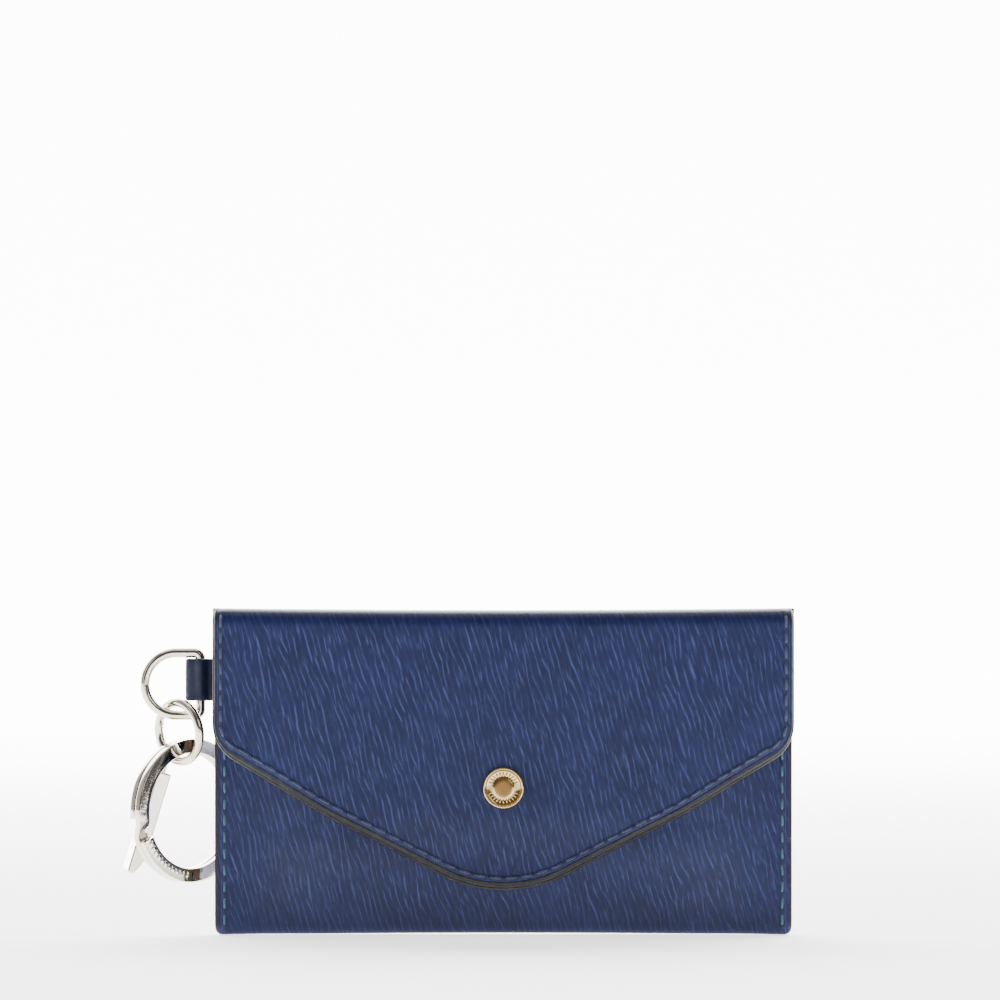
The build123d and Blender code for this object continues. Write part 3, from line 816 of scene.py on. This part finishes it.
reach = back_length(columns)
t = np.linspace(0, 1, 26)[None, :]
s = -reach[:, None] * (1 - t)
wide = columns[:, None] * (HALF_WIDTH + (FLAP_HALF - HALF_WIDTH) * t) / HALF_WIDTH
near_top = 0.30 + 0.70 * ease((TOP - 1.5 - strip(wide, s)[1]) / 4.0)
seam_zone = ease((HALF_WIDTH - np.abs(wide) - 1.2) / 3.0)
values = {
    "strip": np.stack([wide, s, 0 * wide], -1),
    "grain": near_top * (0.45 + 0.55 * seam_zone),
    "rim": HALF_WIDTH - (SEAM_INSET + (STITCH_INSET_SIDE - SEAM_INSET) * t) - np.abs(wide) + 0.3 * t,
    "along": s,
    "cut": HALF_WIDTH - np.abs(wide) + 0.4 * t,
}
fold_leather = leather_from("fold_leather", strip_grid(wide, s), strip_grid(wide, s, LEATHER), values,
                            (1, 1, 0, 0))
cloth_x = wide * (HALF_WIDTH - 0.15) / HALF_WIDTH
fold_cloth = hide_sheet("fold_lining_cloth", strip_grid(cloth_x, s, LEATHER + 0.03),
                        strip_grid(cloth_x, s, LEATHER + 0.36), [LINING, LINING, PAINT_BROWN],
                        (1, 1, 0, 0), 0.05, {"weave": np.stack([wide, s, 0 * wide], -1)})


def follows_fold(piece):
    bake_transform(piece)


def follows_flap(piece):
    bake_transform(piece)


follows_fold(fold_leather)
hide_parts("top_fold")
follows_fold(fold_cloth)
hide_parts("fold_lining")

# ------------------------------------------------------------------ the flap


def flap_grid(cover, step=0.8):
    """Places over the flap, in the strip's terms, out to a share of the painted edge's width."""
    line, _ = inset_line(outline, edge_widths * cover)
    half = line[:, 0].max()
    across = side_columns(half, 0.3, step)
    # the lowest point of the outline at each place across
    bottom = np.array([np.interp(a, line[30:-30, 0], line[30:-30, 1]) if abs(a) < half else 0
                       for a in across])
    corner = line[np.abs(line[:, 0]) > half - 0.02][:, 1].max()
    bottom[0] = bottom[-1] = corner
    bottom = np.maximum(bottom, corner)
    upper = np.linspace(0, corner - 6, int((corner - 6) / step))
    share = np.linspace(0, 1, int(42 / step))[1:]
    rows = np.concatenate([np.broadcast_to(upper, (len(across), len(upper))),
                           upper[-1] + (bottom - upper[-1])[:, None] * share[None, :]], 1)
    return np.broadcast_to(across[:, None], rows.shape), rows


def flap_values(gx, gs):
    rim, along = beside_stitches(gx, gs)
    height = strip(gx, gs)[1]
    near_top = 0.22 + 0.78 * ease((TOP - 1.8 - height) / 4.5)
    return {
        "strip": np.stack([gx, gs, 0 * gx], -1),
        "grain": near_top * (0.30 + 0.70 * ease((rim + 0.2) / 1.5)),
        "rim": rim,
        "along": along,
        "cut": 0 * gx + 9.0,
    }


gx, gs = flap_grid(0.55)
flap_leather = leather_from("flap_leather_face", strip_grid(gx, gs), strip_grid(gx, gs, LEATHER),
                            flap_values(gx, gs), (0, 0, 0, 0), edge=PAINT)
lining_x, lining_s = flap_grid(0.55, 1.2)
flap_inside = hide_sheet("flap_lining_leather", strip_grid(lining_x, lining_s, LEATHER + 0.02),
                         strip_grid(lining_x, lining_s, LEATHER + FLAP_LINING),
                         [FLAP_INSIDE, FLAP_INSIDE, PAINT], (0, 0, 0, 0), 0.0)

# Painted edge: the leather's bevel, a fine groove where it meets the lining, and the lining's own edge
edge_profile = [
    (-1.00, 0.010), (-0.93, 0.055), (-0.82, 0.075), (-0.68, 0.040), (-0.52, -0.080), (-0.40, -0.260),
    (-0.335, -0.420), (-0.318, -0.560), (-0.290, -0.545), (-0.262, -0.500), (-0.200, -0.520),
    (-0.120, -0.640), (-0.045, -0.860), (0.000, -1.180), (-0.010, -1.560), (-0.080, -1.860),
    (-0.240, -2.000), (-0.600, -2.045), (-0.800, -2.010), (-0.700, -1.600), (-0.700, -0.300),
]
flat_line = outline
edge_place = strip_grid(flat_line[:, 0], flat_line[:, 1])
ny, nz = strip_normal(flat_line[:, 0], flat_line[:, 1])
edge_normal = np.stack([0 * ny, ny, nz], -1)
inner_place = strip_grid(flat_line[:, 0] + outline_inward[:, 0] * 0.5,
                         flat_line[:, 1] + outline_inward[:, 1] * 0.5)
edge_out = edge_place - inner_place
edge_out -= edge_normal * (edge_out * edge_normal).sum(1, keepdims=True)
edge_out /= np.linalg.norm(edge_out, axis=1, keepdims=True)
flap_edge = swept("flap_painted_edge", edge_place, edge_out, edge_normal, edge_profile, [PAINT],
                  widths=edge_widths, smooth_angle=50)

for piece in (flap_leather, flap_inside, flap_edge):
    follows_flap(piece)
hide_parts("flap_leather")
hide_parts("flap_lining")

# ------------------------------------------------------------------ what repeats: stitches, beads and bars


def repeat_tree():
    """A piece repeated along a path at an even pitch, standing on the path's own upward direction."""
    tree = bpy.data.node_groups.new("repeat along a path", "GeometryNodeTree")
    tree.is_modifier = True
    sockets = tree.interface
    sockets.new_socket("Path", in_out="INPUT", socket_type="NodeSocketGeometry")
    sockets.new_socket("Piece", in_out="INPUT", socket_type="NodeSocketObject")
    sockets.new_socket("Pitch", in_out="INPUT", socket_type="NodeSocketFloat")
    sockets.new_socket("Unevenness", in_out="INPUT", socket_type="NodeSocketFloat")
    sockets.new_socket("Finish", in_out="INPUT", socket_type="NodeSocketMaterial")
    sockets.new_socket("Row", in_out="OUTPUT", socket_type="NodeSocketGeometry")
    add, link = tree.nodes.new, tree.links.new
    given, result = add("NodeGroupInput"), add("NodeGroupOutput")
    curve = add("GeometryNodeMeshToCurve")
    link(given.outputs["Path"], curve.inputs["Mesh"])
    spaced = add("GeometryNodeResampleCurve")
    spaced.mode = "LENGTH"
    link(curve.outputs[0], spaced.inputs["Curve"])
    link(given.outputs["Pitch"], spaced.inputs["Length"])
    upward = add("GeometryNodeInputNamedAttribute")
    upward.data_type = "FLOAT_VECTOR"
    upward.inputs["Name"].default_value = "up"
    tangent = add("GeometryNodeInputTangent")
    axes = add("FunctionNodeAxesToRotation")
    axes.primary_axis, axes.secondary_axis = "Z", "X"
    link(upward.outputs[0], axes.inputs["Primary Axis"])
    link(tangent.outputs[0], axes.inputs["Secondary Axis"])
    piece = add("GeometryNodeObjectInfo")
    link(given.outputs["Piece"], piece.inputs["Object"])
    placed = add("GeometryNodeInstanceOnPoints")
    link(spaced.outputs[0], placed.inputs["Points"])
    link(piece.outputs["Geometry"], placed.inputs["Instance"])
    link(axes.outputs[0], placed.inputs["Rotation"])
    wobble = add("FunctionNodeRandomValue")
    wobble.data_type = "FLOAT_VECTOR"
    wobble.inputs["Seed"].default_value = 7
    most = add("ShaderNodeCombineXYZ")
    for k in range(3):
        link(given.outputs["Unevenness"], most.inputs[k])
    least = add("ShaderNodeVectorMath")
    least.operation = "SCALE"
    link(most.outputs[0], least.inputs[0])
    least.inputs["Scale"].default_value = -1.0
    link(most.outputs[0], wobble.inputs["Max"])
    link(least.outputs[0], wobble.inputs["Min"])
    turned_a_little = add("GeometryNodeRotateInstances")
    link(placed.outputs[0], turned_a_little.inputs["Instances"])
    link(wobble.outputs[0], turned_a_little.inputs["Rotation"])
    real = add("GeometryNodeRealizeInstances")
    link(turned_a_little.outputs[0], real.inputs[0])
    coloured = add("GeometryNodeSetMaterial")
    link(real.outputs[0], coloured.inputs["Geometry"])
    link(given.outputs["Finish"], coloured.inputs["Material"])
    link(coloured.outputs[0], result.inputs[0])
    return tree


REPEAT = repeat_tree()


def repeated(name, path, up, master, pitch, finish, unevenness=0.0):
    """Runs the repeat tree on a path of points and keeps the result as a plain mesh."""
    mesh = bpy.data.meshes.new(name + "_path")
    mesh.from_pydata([tuple(p) for p in np.asarray(path) * MM],
                     [(k, k + 1) for k in range(len(path) - 1)], [])
    mesh.attributes.new("up", "FLOAT_VECTOR", "POINT").data.foreach_set(
        "vector", np.asarray(up, np.float32).ravel())
    guide = bpy.data.objects.new(name + "_path", mesh)
    bpy.context.scene.collection.objects.link(guide)
    row = guide.modifiers.new("repeat", "NODES")
    row.node_group = REPEAT
    inputs = {item.name: item.identifier for item in REPEAT.interface.items_tree if item.in_out == "INPUT"}
    row[inputs["Piece"]] = master
    row[inputs["Pitch"]] = pitch * MM
    row[inputs["Unevenness"]] = unevenness
    row[inputs["Finish"]] = finish
    bpy.context.view_layer.update()
    shown = guide.evaluated_get(bpy.context.evaluated_depsgraph_get())
    made = bpy.data.meshes.new_from_object(shown)
    made.name = name
    bpy.data.objects.remove(guide)
    piece = bpy.data.objects.new(name, made)
    bpy.context.scene.collection.objects.link(piece)
    made.polygons.foreach_set("use_smooth", np.ones(len(made.polygons), bool))
    made.update()
    return piece


def joined(name, *pieces):
    """Several plain meshes as one piece."""
    with bpy.context.temp_override(active_object=pieces[0], object=pieces[0],
                                   selected_editable_objects=list(pieces), selected_objects=list(pieces)):
        bpy.ops.object.join()
    pieces[0].name = name
    pieces[0].data.name = name
    return pieces[0]


def thread_loop(length, radius, name):
    """One stitch: a thread that comes up out of its hole, lies over, and goes down again."""
    places = np.linspace(-1, 1, 8)
    path = np.stack([places * length / 2, 0 * places,
                     radius * 0.75 - (np.abs(places) ** 3.4) * radius * 2.3], 1)
    along = np.gradient(path, axis=0)
    along /= np.linalg.norm(along, axis=1, keepdims=True)
    side = np.tile([0.0, 1.0, 0.0], (len(places), 1))
    normal = np.cross(along, side)
    widths = 0.82 + 0.18 * np.cos(places * pi / 2)
    section = round_section(radius, 7)
    twist = np.array([[p * length / 2, k / 7 * 2.0, 0] for p in places for k in range(7)])
    return swept(name, path, side * widths[:, None], normal, section, [], values={"twist": twist})


def hole_shade_disc(offset, name):
    """A thin oval disc at a stitch hole, carrying the hole's painted shade."""
    rim = [(0.34 * cos(a), 0.24 * sin(a)) for a in np.linspace(0, 2 * pi, 10, endpoint=False)]
    points = [(offset + u, v, 0.015) for u, v in rim] + [(offset, 0, 0.05)]
    points += [(offset + u * 1.2, v * 1.2, -0.12) for u, v in rim]
    faces = [(k, (k + 1) % 10, 10) for k in range(10)]
    faces += [(11 + k, 11 + (k + 1) % 10, (k + 1) % 10, k) for k in range(10)]
    faces.append(tuple(11 + k for k in range(9, -1, -1)))
    return mesh_piece(name, points, faces, [], values={"twist": np.zeros((21, 3))})


def stitched(name, path, up, pitch, thread, length=2.45, radius=0.31):
    """A run of stitches and the painted-shade discs at their holes, as one mesh."""
    loop, hole = thread_loop(length, radius, name + "_loop"), hole_shade_disc(pitch / 2, name + "_hole")
    rows = [repeated(name, path, up, loop, pitch, thread, 0.05),
            repeated(name + "_holes", path, up, hole, pitch, HOLE_SHADE)]
    bpy.data.objects.remove(loop)
    bpy.data.objects.remove(hole)
    return joined(name, *rows)


stitch_place = strip_grid(stitch_line[:, 0], stitch_line[:, 1], 0.03)
ny, nz = strip_normal(stitch_line[:, 0], stitch_line[:, 1])
sewn = stitch_place[:, 2] < TOP - 2.6
flap_stitches = stitched("flap_stitches", stitch_place[sewn], np.stack([0 * ny, ny, nz], -1)[sewn],
                         FLAP_PITCH, NAVY_THREAD)
follows_flap(flap_stitches)
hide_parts("flap_thread")

for side, node in ((-1, "seam_thread_left"), (1, "seam_thread_right")):
    runs = []
    for face_side, top in ((-1, FRONT_TOP - 1.5), (1, BACK_JOIN - 0.6)):
        heights = np.linspace(3.2, top, 40)
        place_x = np.full(40, side * (HALF_WIDTH - SEAM_INSET))
        depth = front_depth(place_x, heights) if face_side < 0 else back_depth(place_x, heights)
        path = np.stack([place_x, face_side * (depth - 0.03), heights], 1)
        up = np.tile([0.0, face_side, 0.0], (40, 1))
        runs.append(stitched(node + ("_front" if face_side < 0 else "_back"), path, up, SEAM_PITCH,
                             TEAL_THREAD, 2.3, 0.25))
    seam = joined(node + "_stitches", *runs)
    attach(seam, "pouch")
    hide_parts(node)

# ------------------------------------------------------------------ the snap

snap_z = (cap_low[2] + cap_high[2]) / 2
snap_centre = np.array([0.0, FLAP_FACE, snap_z])
cap_radius = cap_high[0]
cap_profile = [
    (0, 0.60), (1.20, 0.61), (1.86, 0.60), (1.97, 0.56), (2.03, 0.44), (2.12, 0.40), (2.60, 0.40),
    (3.30, 0.47), (3.52, 0.56), (3.64, 0.74), (3.74, 0.93), (3.86, 1.05), (3.98, 1.10), (4.12, 1.07),
    (4.24, 0.95), (cap_radius, 0.76), (cap_radius, 0.30), (4.20, 0.06), (4.05, -0.12), (0, -0.12),
]
cap = turned("snap_cap_gold", cap_profile, snap_centre, (1, 0, 0), (0, 0, 1), (0, -1, 0), GOLD)
cap.data.materials.append(GOLD_DISC_PAINTED_REFLECTION)
# The flat centre disc takes the darker gold, a painted reflection
centres = np.array([p.center for p in cap.data.polygons]) / MM
flat_disc = (np.hypot(centres[:, 0], centres[:, 2] - snap_z) < 1.9) & (centres[:, 1] < FLAP_FACE - 0.3)
cap.data.polygons.foreach_set("material_index", flat_disc.astype(np.int32))
cap.data.update()


def bead(name, long, wide, high):
    """A low oval bead."""
    points, faces = [(0, 0, high)], []
    for level, share in ((0.55, 0.75), (0.0, 1.0), (-0.3, 1.0)):
        for k in range(10):
            a = 2 * pi * k / 10
            points.append((wide * share * cos(a), long * share * sin(a), high * level))
    for k in range(10):
        n = (k + 1) % 10
        faces += [(0, 1 + k, 1 + n), (1 + k, 11 + k, 11 + n, 1 + n), (11 + k, 21 + k, 21 + n, 11 + n)]
    faces.append(tuple(21 + k for k in range(9, -1, -1)))
    return mesh_piece(name, points, faces, [])


bead_master = bead("cap_bead", 0.60, 0.20, 0.30)
bead_rows = []
for k, (start, end) in enumerate(((22, 158), (202, 338))):
    angles = np.radians(np.linspace(start, end, 60))
    path = snap_centre + np.stack([2.82 * np.cos(angles), np.full(60, -0.42), 2.82 * np.sin(angles)], 1)
    bead_rows.append(repeated("cap_beads_%d" % k, path, np.tile([0.0, -1.0, 0.0], (60, 1)), bead_master,
                              0.66, GOLD))
bpy.data.objects.remove(bead_master)
beads = joined("snap_cap_beads", *bead_rows)
for piece in (cap, beads):
    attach(piece, "flap")
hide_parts("snap_cap")

# ------------------------------------------------------------------ the ring tab

bar_x = d_high[0] - 1.0
tab_wall = 0.8


def tab_half(x):
    """Half the tab's thickness along its length: pared at the seam, round the bar, and folded at its end."""
    end = tab_low[0] + 1.2
    folded = np.sqrt(np.clip(1.2 ** 2 - np.minimum(x - end, 0) ** 2, 0, None))
    bar = 2.08 * np.exp(-((x - bar_x) / 1.75) ** 2)
    seam = 0.80 + 0 * x
    body = np.maximum(np.where(x < bar_x, 1.2, seam), bar)
    soft = np.where(x < end, folded, (body ** 4 + 0.5 ** 4) ** 0.25)
    return soft


angles = np.linspace(0, pi / 2, 9)
end_x = tab_low[0] + 1.2 - 1.2 * np.cos(angles)
along_x = np.concatenate([end_x, np.linspace(end_x[-1], -HALF_WIDTH + 1.6, 34)[1:]])
half = tab_half(along_x)
half[0] = 0.0
front_line = np.stack([along_x[::-1], -half[::-1]], 1)
back_line = np.stack([along_x[1:], half[1:]], 1)
loop_line = np.concatenate([front_line, back_line])
tangent = np.gradient(loop_line, axis=0)
tangent /= np.linalg.norm(tangent, axis=1, keepdims=True)
outward = np.stack([tangent[:, 1], -tangent[:, 0]], 1) * -1
if outward[len(front_line) - 1, 0] > 0:
    outward = -outward
inner_line = loop_line - outward * (tab_wall - 0.04)
keep = np.sign(loop_line[:, 1]) * np.maximum(np.abs(inner_line[:, 1]) * (np.sign(inner_line[:, 1])
                                                                       == np.sign(loop_line[:, 1])), 0.03)
inner_line[:, 1] = np.where(np.abs(loop_line[:, 1]) > 1e-6, keep, 0)
inner_line[:, 0] = np.maximum(inner_line[:, 0], tab_low[0] + tab_wall)
tab_z = np.concatenate([[tab_low[2] + 0.16], np.linspace(tab_low[2] + 0.5, tab_high[2] - 0.5, 9),
                        [tab_high[2] - 0.16]])
tuck = np.array([0.14] + [0.0] * 9 + [0.14])
outer_loop = loop_line[:, None, :] - outward[:, None, :] * tuck[None, :, None]
tab_heights = np.broadcast_to(tab_z[None, :, None], outer_loop.shape[:2] + (1,))
grid_face = np.concatenate([outer_loop, tab_heights], 2)
grid_back = np.concatenate([np.broadcast_to(inner_line[:, None, :], outer_loop.shape), tab_heights], 2)
tab = hide_sheet("ring_tab_leather", grid_face, grid_back, [SMOOTH, SMOOTH, PAINT_BROWN], (0, 0, 1, 1), 0.16)
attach(tab, "pouch")
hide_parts("ring_tab")

# ------------------------------------------------------------------ rings


def wire_ring(name, centreline, normal, radius, closed, body, node, steps=24):
    """A ring of round wire that lies in one plane."""
    line = np.asarray(centreline, float)
    if closed:
        along = np.roll(line, -1, 0) - np.roll(line, 1, 0)
    else:
        along = np.gradient(line, axis=0)
    along /= np.linalg.norm(along, axis=1, keepdims=True)
    normal = np.tile(np.asarray(normal, float), (len(line), 1))
    out = np.cross(along, normal)
    ring = swept(name, line, out, normal, round_section(radius, steps), [NICKEL], closed=closed)
    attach(ring, body)
    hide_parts(node)
    return ring


d_wire = 1.0
d_half = (d_high[2] - d_low[2]) / 2 - d_wire
d_middle = (d_high[2] + d_low[2]) / 2
d_run = (d_high[0] - d_low[0]) - 2 * d_wire - d_half
bend = 1.3
d_points = []
for a in np.linspace(-90, -270, 61):
    d_points.append((bar_x - d_run + d_half * cos(radians(a)) * 1.0, d_middle + d_half * sin(radians(a))))
d_points += [(bar_x - d_run * (1 - t) - bend * t, d_middle + d_half) for t in np.linspace(0, 1, 8)[1:-1]]
d_points += [(bar_x - bend + bend * sin(a), d_middle + d_half - bend + bend * cos(a))
             for a in np.linspace(0, pi / 2, 10)]
d_points += [(bar_x, d_middle + (d_half - bend) * t) for t in np.linspace(1, -1, 12)[1:-1]]
d_points += [(bar_x - bend + bend * cos(a), d_middle - d_half + bend - bend * sin(a))
             for a in np.linspace(0, pi / 2, 10)]
d_points += [(bar_x - bend * (1 - t) - d_run * t, d_middle - d_half) for t in np.linspace(0, 1, 8)[1:-1]]
d_line = np.array([(across, 0.0, up) for across, up in d_points])
wire_ring("d_ring_wire", d_line, (0, 1, 0), d_wire, True, "d_ring", "d_ring")

# Jump ring: hung on the D-ring's lower run, turned and leaning, its ends almost meeting
jump_turn, jump_lean = radians(-45), radians(9)
jump_outside, jump_wire = 14.3, 1.9
jump_radius = (jump_outside - jump_wire) / 2
hang = np.array([bar_x - 5.4, 0.0, d_middle - d_half])


def leaned(v):
    """A direction leaned about the wallet's depth."""
    across, deep, up = v
    return np.array([across * cos(-jump_lean) + up * sin(-jump_lean), deep,
                     -across * sin(-jump_lean) + up * cos(-jump_lean)])


jump_across = leaned((cos(jump_turn), sin(jump_turn), 0.0))
jump_up = leaned((0.0, 0.0, 1.0))
jump_normal = np.cross(jump_across, jump_up)
jump_centre = hang + np.array([0, 0, (2.0 + jump_wire) / 2 + 0.7]) - jump_up * jump_radius
gap = 1.5
jump_angles = np.radians(140 + gap / 2 + np.linspace(0, 360 - gap, 100))
jump_line = np.array([jump_centre + (jump_across * -sin(a) - jump_up * cos(a)) * jump_radius
                      for a in jump_angles])
wire_ring("jump_ring_wire", jump_line, jump_normal / np.linalg.norm(jump_normal), jump_wire / 2, False,
          "jump_ring", "jump_ring")

# Key ring: two flat turns of one band, stepped across where the turns change over
key_low, key_high = node_box("key_ring")
key_centre = (key_low + key_high) / 2
key_turn = radians(44)
key_across = np.array([cos(key_turn), sin(key_turn), 0.0])
key_axis = np.array([sin(key_turn), -cos(key_turn), 0.0])
key_middle, key_band, key_layer = 13.5, 3.0, 1.56
turn_gap, step_over = 1.6, 18.0
start = 185.0
travel = np.linspace(0, 720 - step_over - turn_gap, 300)
travel = np.sort(np.concatenate([travel, np.linspace(340, 362, 30)]))
places = start - travel
level = -0.81 + 1.62 * ease((travel - (360 - step_over - turn_gap)) / step_over)
key_angles = np.radians(places)
key_out = np.cos(key_angles)[:, None] * key_across + np.sin(key_angles)[:, None] * np.array([0, 0, 1.0])
key_line = key_centre + key_out * key_middle + level[:, None] * key_axis
key_profile = rounded_section(key_band / 2, key_layer / 2, 0.34, 4)
key_ring = swept("key_ring_coil", key_line, key_out, np.tile(key_axis, (len(places), 1)), key_profile,
                 [NICKEL])
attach(key_ring, "key_ring")
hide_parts("key_ring")

bar_master = bead("ring_bar", 0.72, 0.26, 0.16)
angles = np.radians(np.linspace(203, 262, 60))
ring_out = np.cos(angles)[:, None] * key_across + np.sin(angles)[:, None] * np.array([0, 0, 1.0])
path = key_centre + ring_out * key_middle + key_axis * (0.81 + key_layer / 2)
ring_bars = repeated("key_ring_bars", path, np.tile(key_axis, (60, 1)), bar_master, 1.15, NICKEL)
bpy.data.objects.remove(bar_master)
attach(ring_bars, "key_ring")

# Tag: a polished bar with an eye round the jump ring's rear wire
tag_angle = radians(47)
tag_out = jump_across * -sin(tag_angle) - jump_up * cos(tag_angle)
tag_seat = jump_centre + tag_out * jump_radius
wire_run = np.cross(jump_normal, tag_out)
wire_run /= np.linalg.norm(wire_run)
down = np.array([0, 0, -1.0])
tag_fall = down - wire_run * (down @ wire_run)
tag_fall /= np.linalg.norm(tag_fall)
eye_radius, eye_wire = 2.15, 1.4
eye_centre = tag_seat + tag_fall * (eye_radius - eye_wire / 2 - jump_wire / 2 - 0.2)
tag_run = np.array([-sin(radians(17)), 0, -cos(radians(17))])
tag_side = np.array([cos(radians(75)), -sin(radians(75)), 0])
tag_side -= tag_run * (tag_side @ tag_run)
tag_side /= np.linalg.norm(tag_side)
tag_face = np.cross(tag_run, tag_side)
if tag_face[0] > 0:
    tag_face = -tag_face
neck, tag_long, tag_half_wide, tag_half_thick = 3.6, 22.0, 3.0, 1.5


def tag_point(run, side, face):
    return eye_centre + tag_run * run + tag_side * side + tag_face * face


# The plate's outline across its thickness and along its length, with one corner cut away
cut = [(-tag_half_thick, neck), (tag_half_thick, neck), (tag_half_thick, neck + tag_long),
       (-tag_half_thick + 1.5, neck + tag_long), (-tag_half_thick, neck + tag_long - 3.4)]
tag_points = [tag_point(run, side, face) for side in (-tag_half_wide, tag_half_wide) for face, run in cut]
n = len(cut)
tag_faces = [tuple(range(n)), tuple(range(2 * n - 1, n - 1, -1))]
tag_faces += [(k, k + n, (k + 1) % n + n, (k + 1) % n) for k in range(n)]
tag_bar = mesh_piece("tag_bar", tag_points, tag_faces, [NICKEL], smooth_angle=180)
turn_outwards(tag_bar)
softened = tag_bar.modifiers.new("softened edges", "BEVEL")
softened.width, softened.segments, softened.limit_method = 0.42 * MM, 4, "NONE"
softened.harden_normals = True
bpy.context.view_layer.update()
shown = tag_bar.evaluated_get(bpy.context.evaluated_depsgraph_get())
solid = bpy.data.meshes.new_from_object(shown)
tag_bar.modifiers.clear()
tag_bar.data = solid

eye_angles = np.linspace(0, 2 * pi, 64, endpoint=False)
eye_side = np.cross(wire_run, tag_fall)
eye_line = np.array([eye_centre + (tag_fall * cos(a) + eye_side * sin(a)) * eye_radius for a in eye_angles])
along = np.roll(eye_line, -1, 0) - np.roll(eye_line, 1, 0)
along /= np.linalg.norm(along, axis=1, keepdims=True)
eye_normal = np.tile(wire_run, (64, 1))
eye = swept("tag_eye", eye_line, np.cross(along, eye_normal), eye_normal, round_section(eye_wire / 2, 18),
            [NICKEL], closed=True)
neck_path = np.array([eye_centre + tag_run * (eye_radius * (1 - t) + (neck + 0.6) * t) for t in (0, 0.5, 1)])
neck_bar = swept("tag_neck", neck_path, np.tile(tag_side, (3, 1)), np.tile(tag_face, (3, 1)),
                 round_section(eye_wire / 2, 18), [NICKEL])
tag = joined("tag_bar", tag_bar, eye, neck_bar)
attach(tag, "tag")
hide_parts("tag")

oval_master = bead("tag_oval", 1.25, 0.62, 0.14)
path = np.array([tag_point(neck + 5 + 14 * t, 0, tag_half_thick) for t in np.linspace(0, 1, 40)])
ovals = repeated("tag_ovals", path, np.tile(tag_face, (40, 1)), oval_master, 2.3, NICKEL)
bpy.data.objects.remove(oval_master)
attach(ovals, "tag")

# ------------------------------------------------------------------ snap parts that keep the frame's shape

for node, finish in (("snap_socket", STEEL), ("snap_stud", STEEL), ("stud_post", STEEL)):
    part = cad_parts[node]
    part.data.materials.clear()
    part.data.materials.append(finish)

# ------------------------------------------------------------------ studio

camera = bpy.data.objects.new("camera", bpy.data.cameras.new("camera"))
bpy.context.scene.collection.objects.link(camera)
bpy.context.scene.camera = camera
distance = 1.35
camera.location = (-0.0007, -distance, 0.0905)
camera.rotation_euler = (pi / 2, 0, 0)
camera.data.sensor_width = 36
camera.data.lens = 36 * (distance - 0.008) / 0.207
camera.data.clip_end = 50


def softbox(name, place, aim, size, power, tint=(1, 1, 1)):
    """A rectangular soft light that faces a point."""
    light = bpy.data.lights.new(name, "AREA")
    light.shape = "RECTANGLE"
    light.size, light.size_y = size
    light.energy = power
    light.color = tint
    lamp = bpy.data.objects.new(name, light)
    lamp.location = place
    lamp.rotation_euler = (Vector(aim) - Vector(place)).to_track_quat("-Z", "Y").to_euler()
    bpy.context.scene.collection.objects.link(lamp)
    return lamp


middle = (0, 0, 0.035)
softbox("overhead", (0.0, -0.10, 0.75), middle, (0.9, 0.4), 1.6)
softbox("front_right", (0.60, -0.95, 0.50), middle, (0.5, 0.5), 1.1)
softbox("front_left", (-0.75, -0.60, 0.35), middle, (0.35, 0.6), 0.5, (1.0, 0.96, 0.90))

world = bpy.data.worlds.new("studio")
bpy.context.scene.world = world
world.use_nodes = True
tree = world.node_tree
background = tree.nodes["Background"]
where = tree.nodes.new("ShaderNodeTexCoord")
split = tree.nodes.new("ShaderNodeSeparateXYZ")
tree.links.new(where.outputs["Generated"], split.inputs[0])
ramp = tree.nodes.new("ShaderNodeValToRGB")
ramp.color_ramp.elements[0].position, ramp.color_ramp.elements[0].color = 0.10, (0.16, 0.15, 0.14, 1)
ramp.color_ramp.elements[1].position, ramp.color_ramp.elements[1].color = 0.62, (1, 1, 1, 1)
shifted = tree.nodes.new("ShaderNodeMath")
shifted.operation = "MULTIPLY_ADD"
tree.links.new(split.outputs[1], shifted.inputs[0])
shifted.inputs[1].default_value, shifted.inputs[2].default_value = 0.5, 0.5
tree.links.new(shifted.outputs[0], ramp.inputs[0])
tree.links.new(ramp.outputs[0], background.inputs[0])
background.inputs[1].default_value = 0.7

# A pale sweep: floor, bend and wall in one sheet. It glows as a painted light, brightest up the wall and in
# a band of floor in front of the wallet, and the glow also lights the wallet
sweep_points, sweep_faces = [], []
profile = [(-3.0, 0.0), (1.2, 0.0)]
profile += [(1.2 + 0.8 * sin(a), 0.8 - 0.8 * cos(a)) for a in np.linspace(0, pi / 2, 16)[1:]]
profile += [(2.0, 4.0)]
for deep, up in profile:
    sweep_points += [(-4000, deep * 1000, up * 1000), (4000, deep * 1000, up * 1000)]
for k in range(len(profile) - 1):
    sweep_faces.append((2 * k, 2 * k + 1, 2 * k + 3, 2 * k + 2))
paper = Finish("pale glowing paper")
paper_place = paper.place_mm()
height = paper.node("ShaderNodeSeparateXYZ")
paper.feed(height.inputs[0], paper_place)
# Painted light: the paper's glow, rising up the wall and in a band of floor before the wallet
glow = paper.sum("ADD", paper.ramp(height.outputs[1], -260.0, -185.0, 0.0, 1.6),
                 paper.ramp(height.outputs[1], 0.0, 1600.0, 0.0, 9.0))
paper.set(Emission_Strength=glow, Emission_Color=(1, 1, 1, 1))
paper.set(Base_Color=paper.mixed(paper.noise(paper_place, 0.002), (0.93, 0.93, 0.93, 1),
                                 (0.95, 0.95, 0.95, 1)), Roughness=0.9)
floor = mesh_piece("paper_sweep", sweep_points, sweep_faces, [paper.material])
card = Finish("black card")
card.set(Base_Color=card.mixed(card.noise(card.place_mm(), 0.01), (0.012, 0.012, 0.013, 1),
                               (0.02, 0.02, 0.02, 1)), Roughness=0.8)
card_points = [(420, -260, 0), (420, 120, 0), (420, 120, 130), (420, -260, 130)]
dark_card = mesh_piece("black_card", card_points, [(0, 1, 2, 3)], [card.material])
dark_card.visible_camera = False  # it still shades and reflects
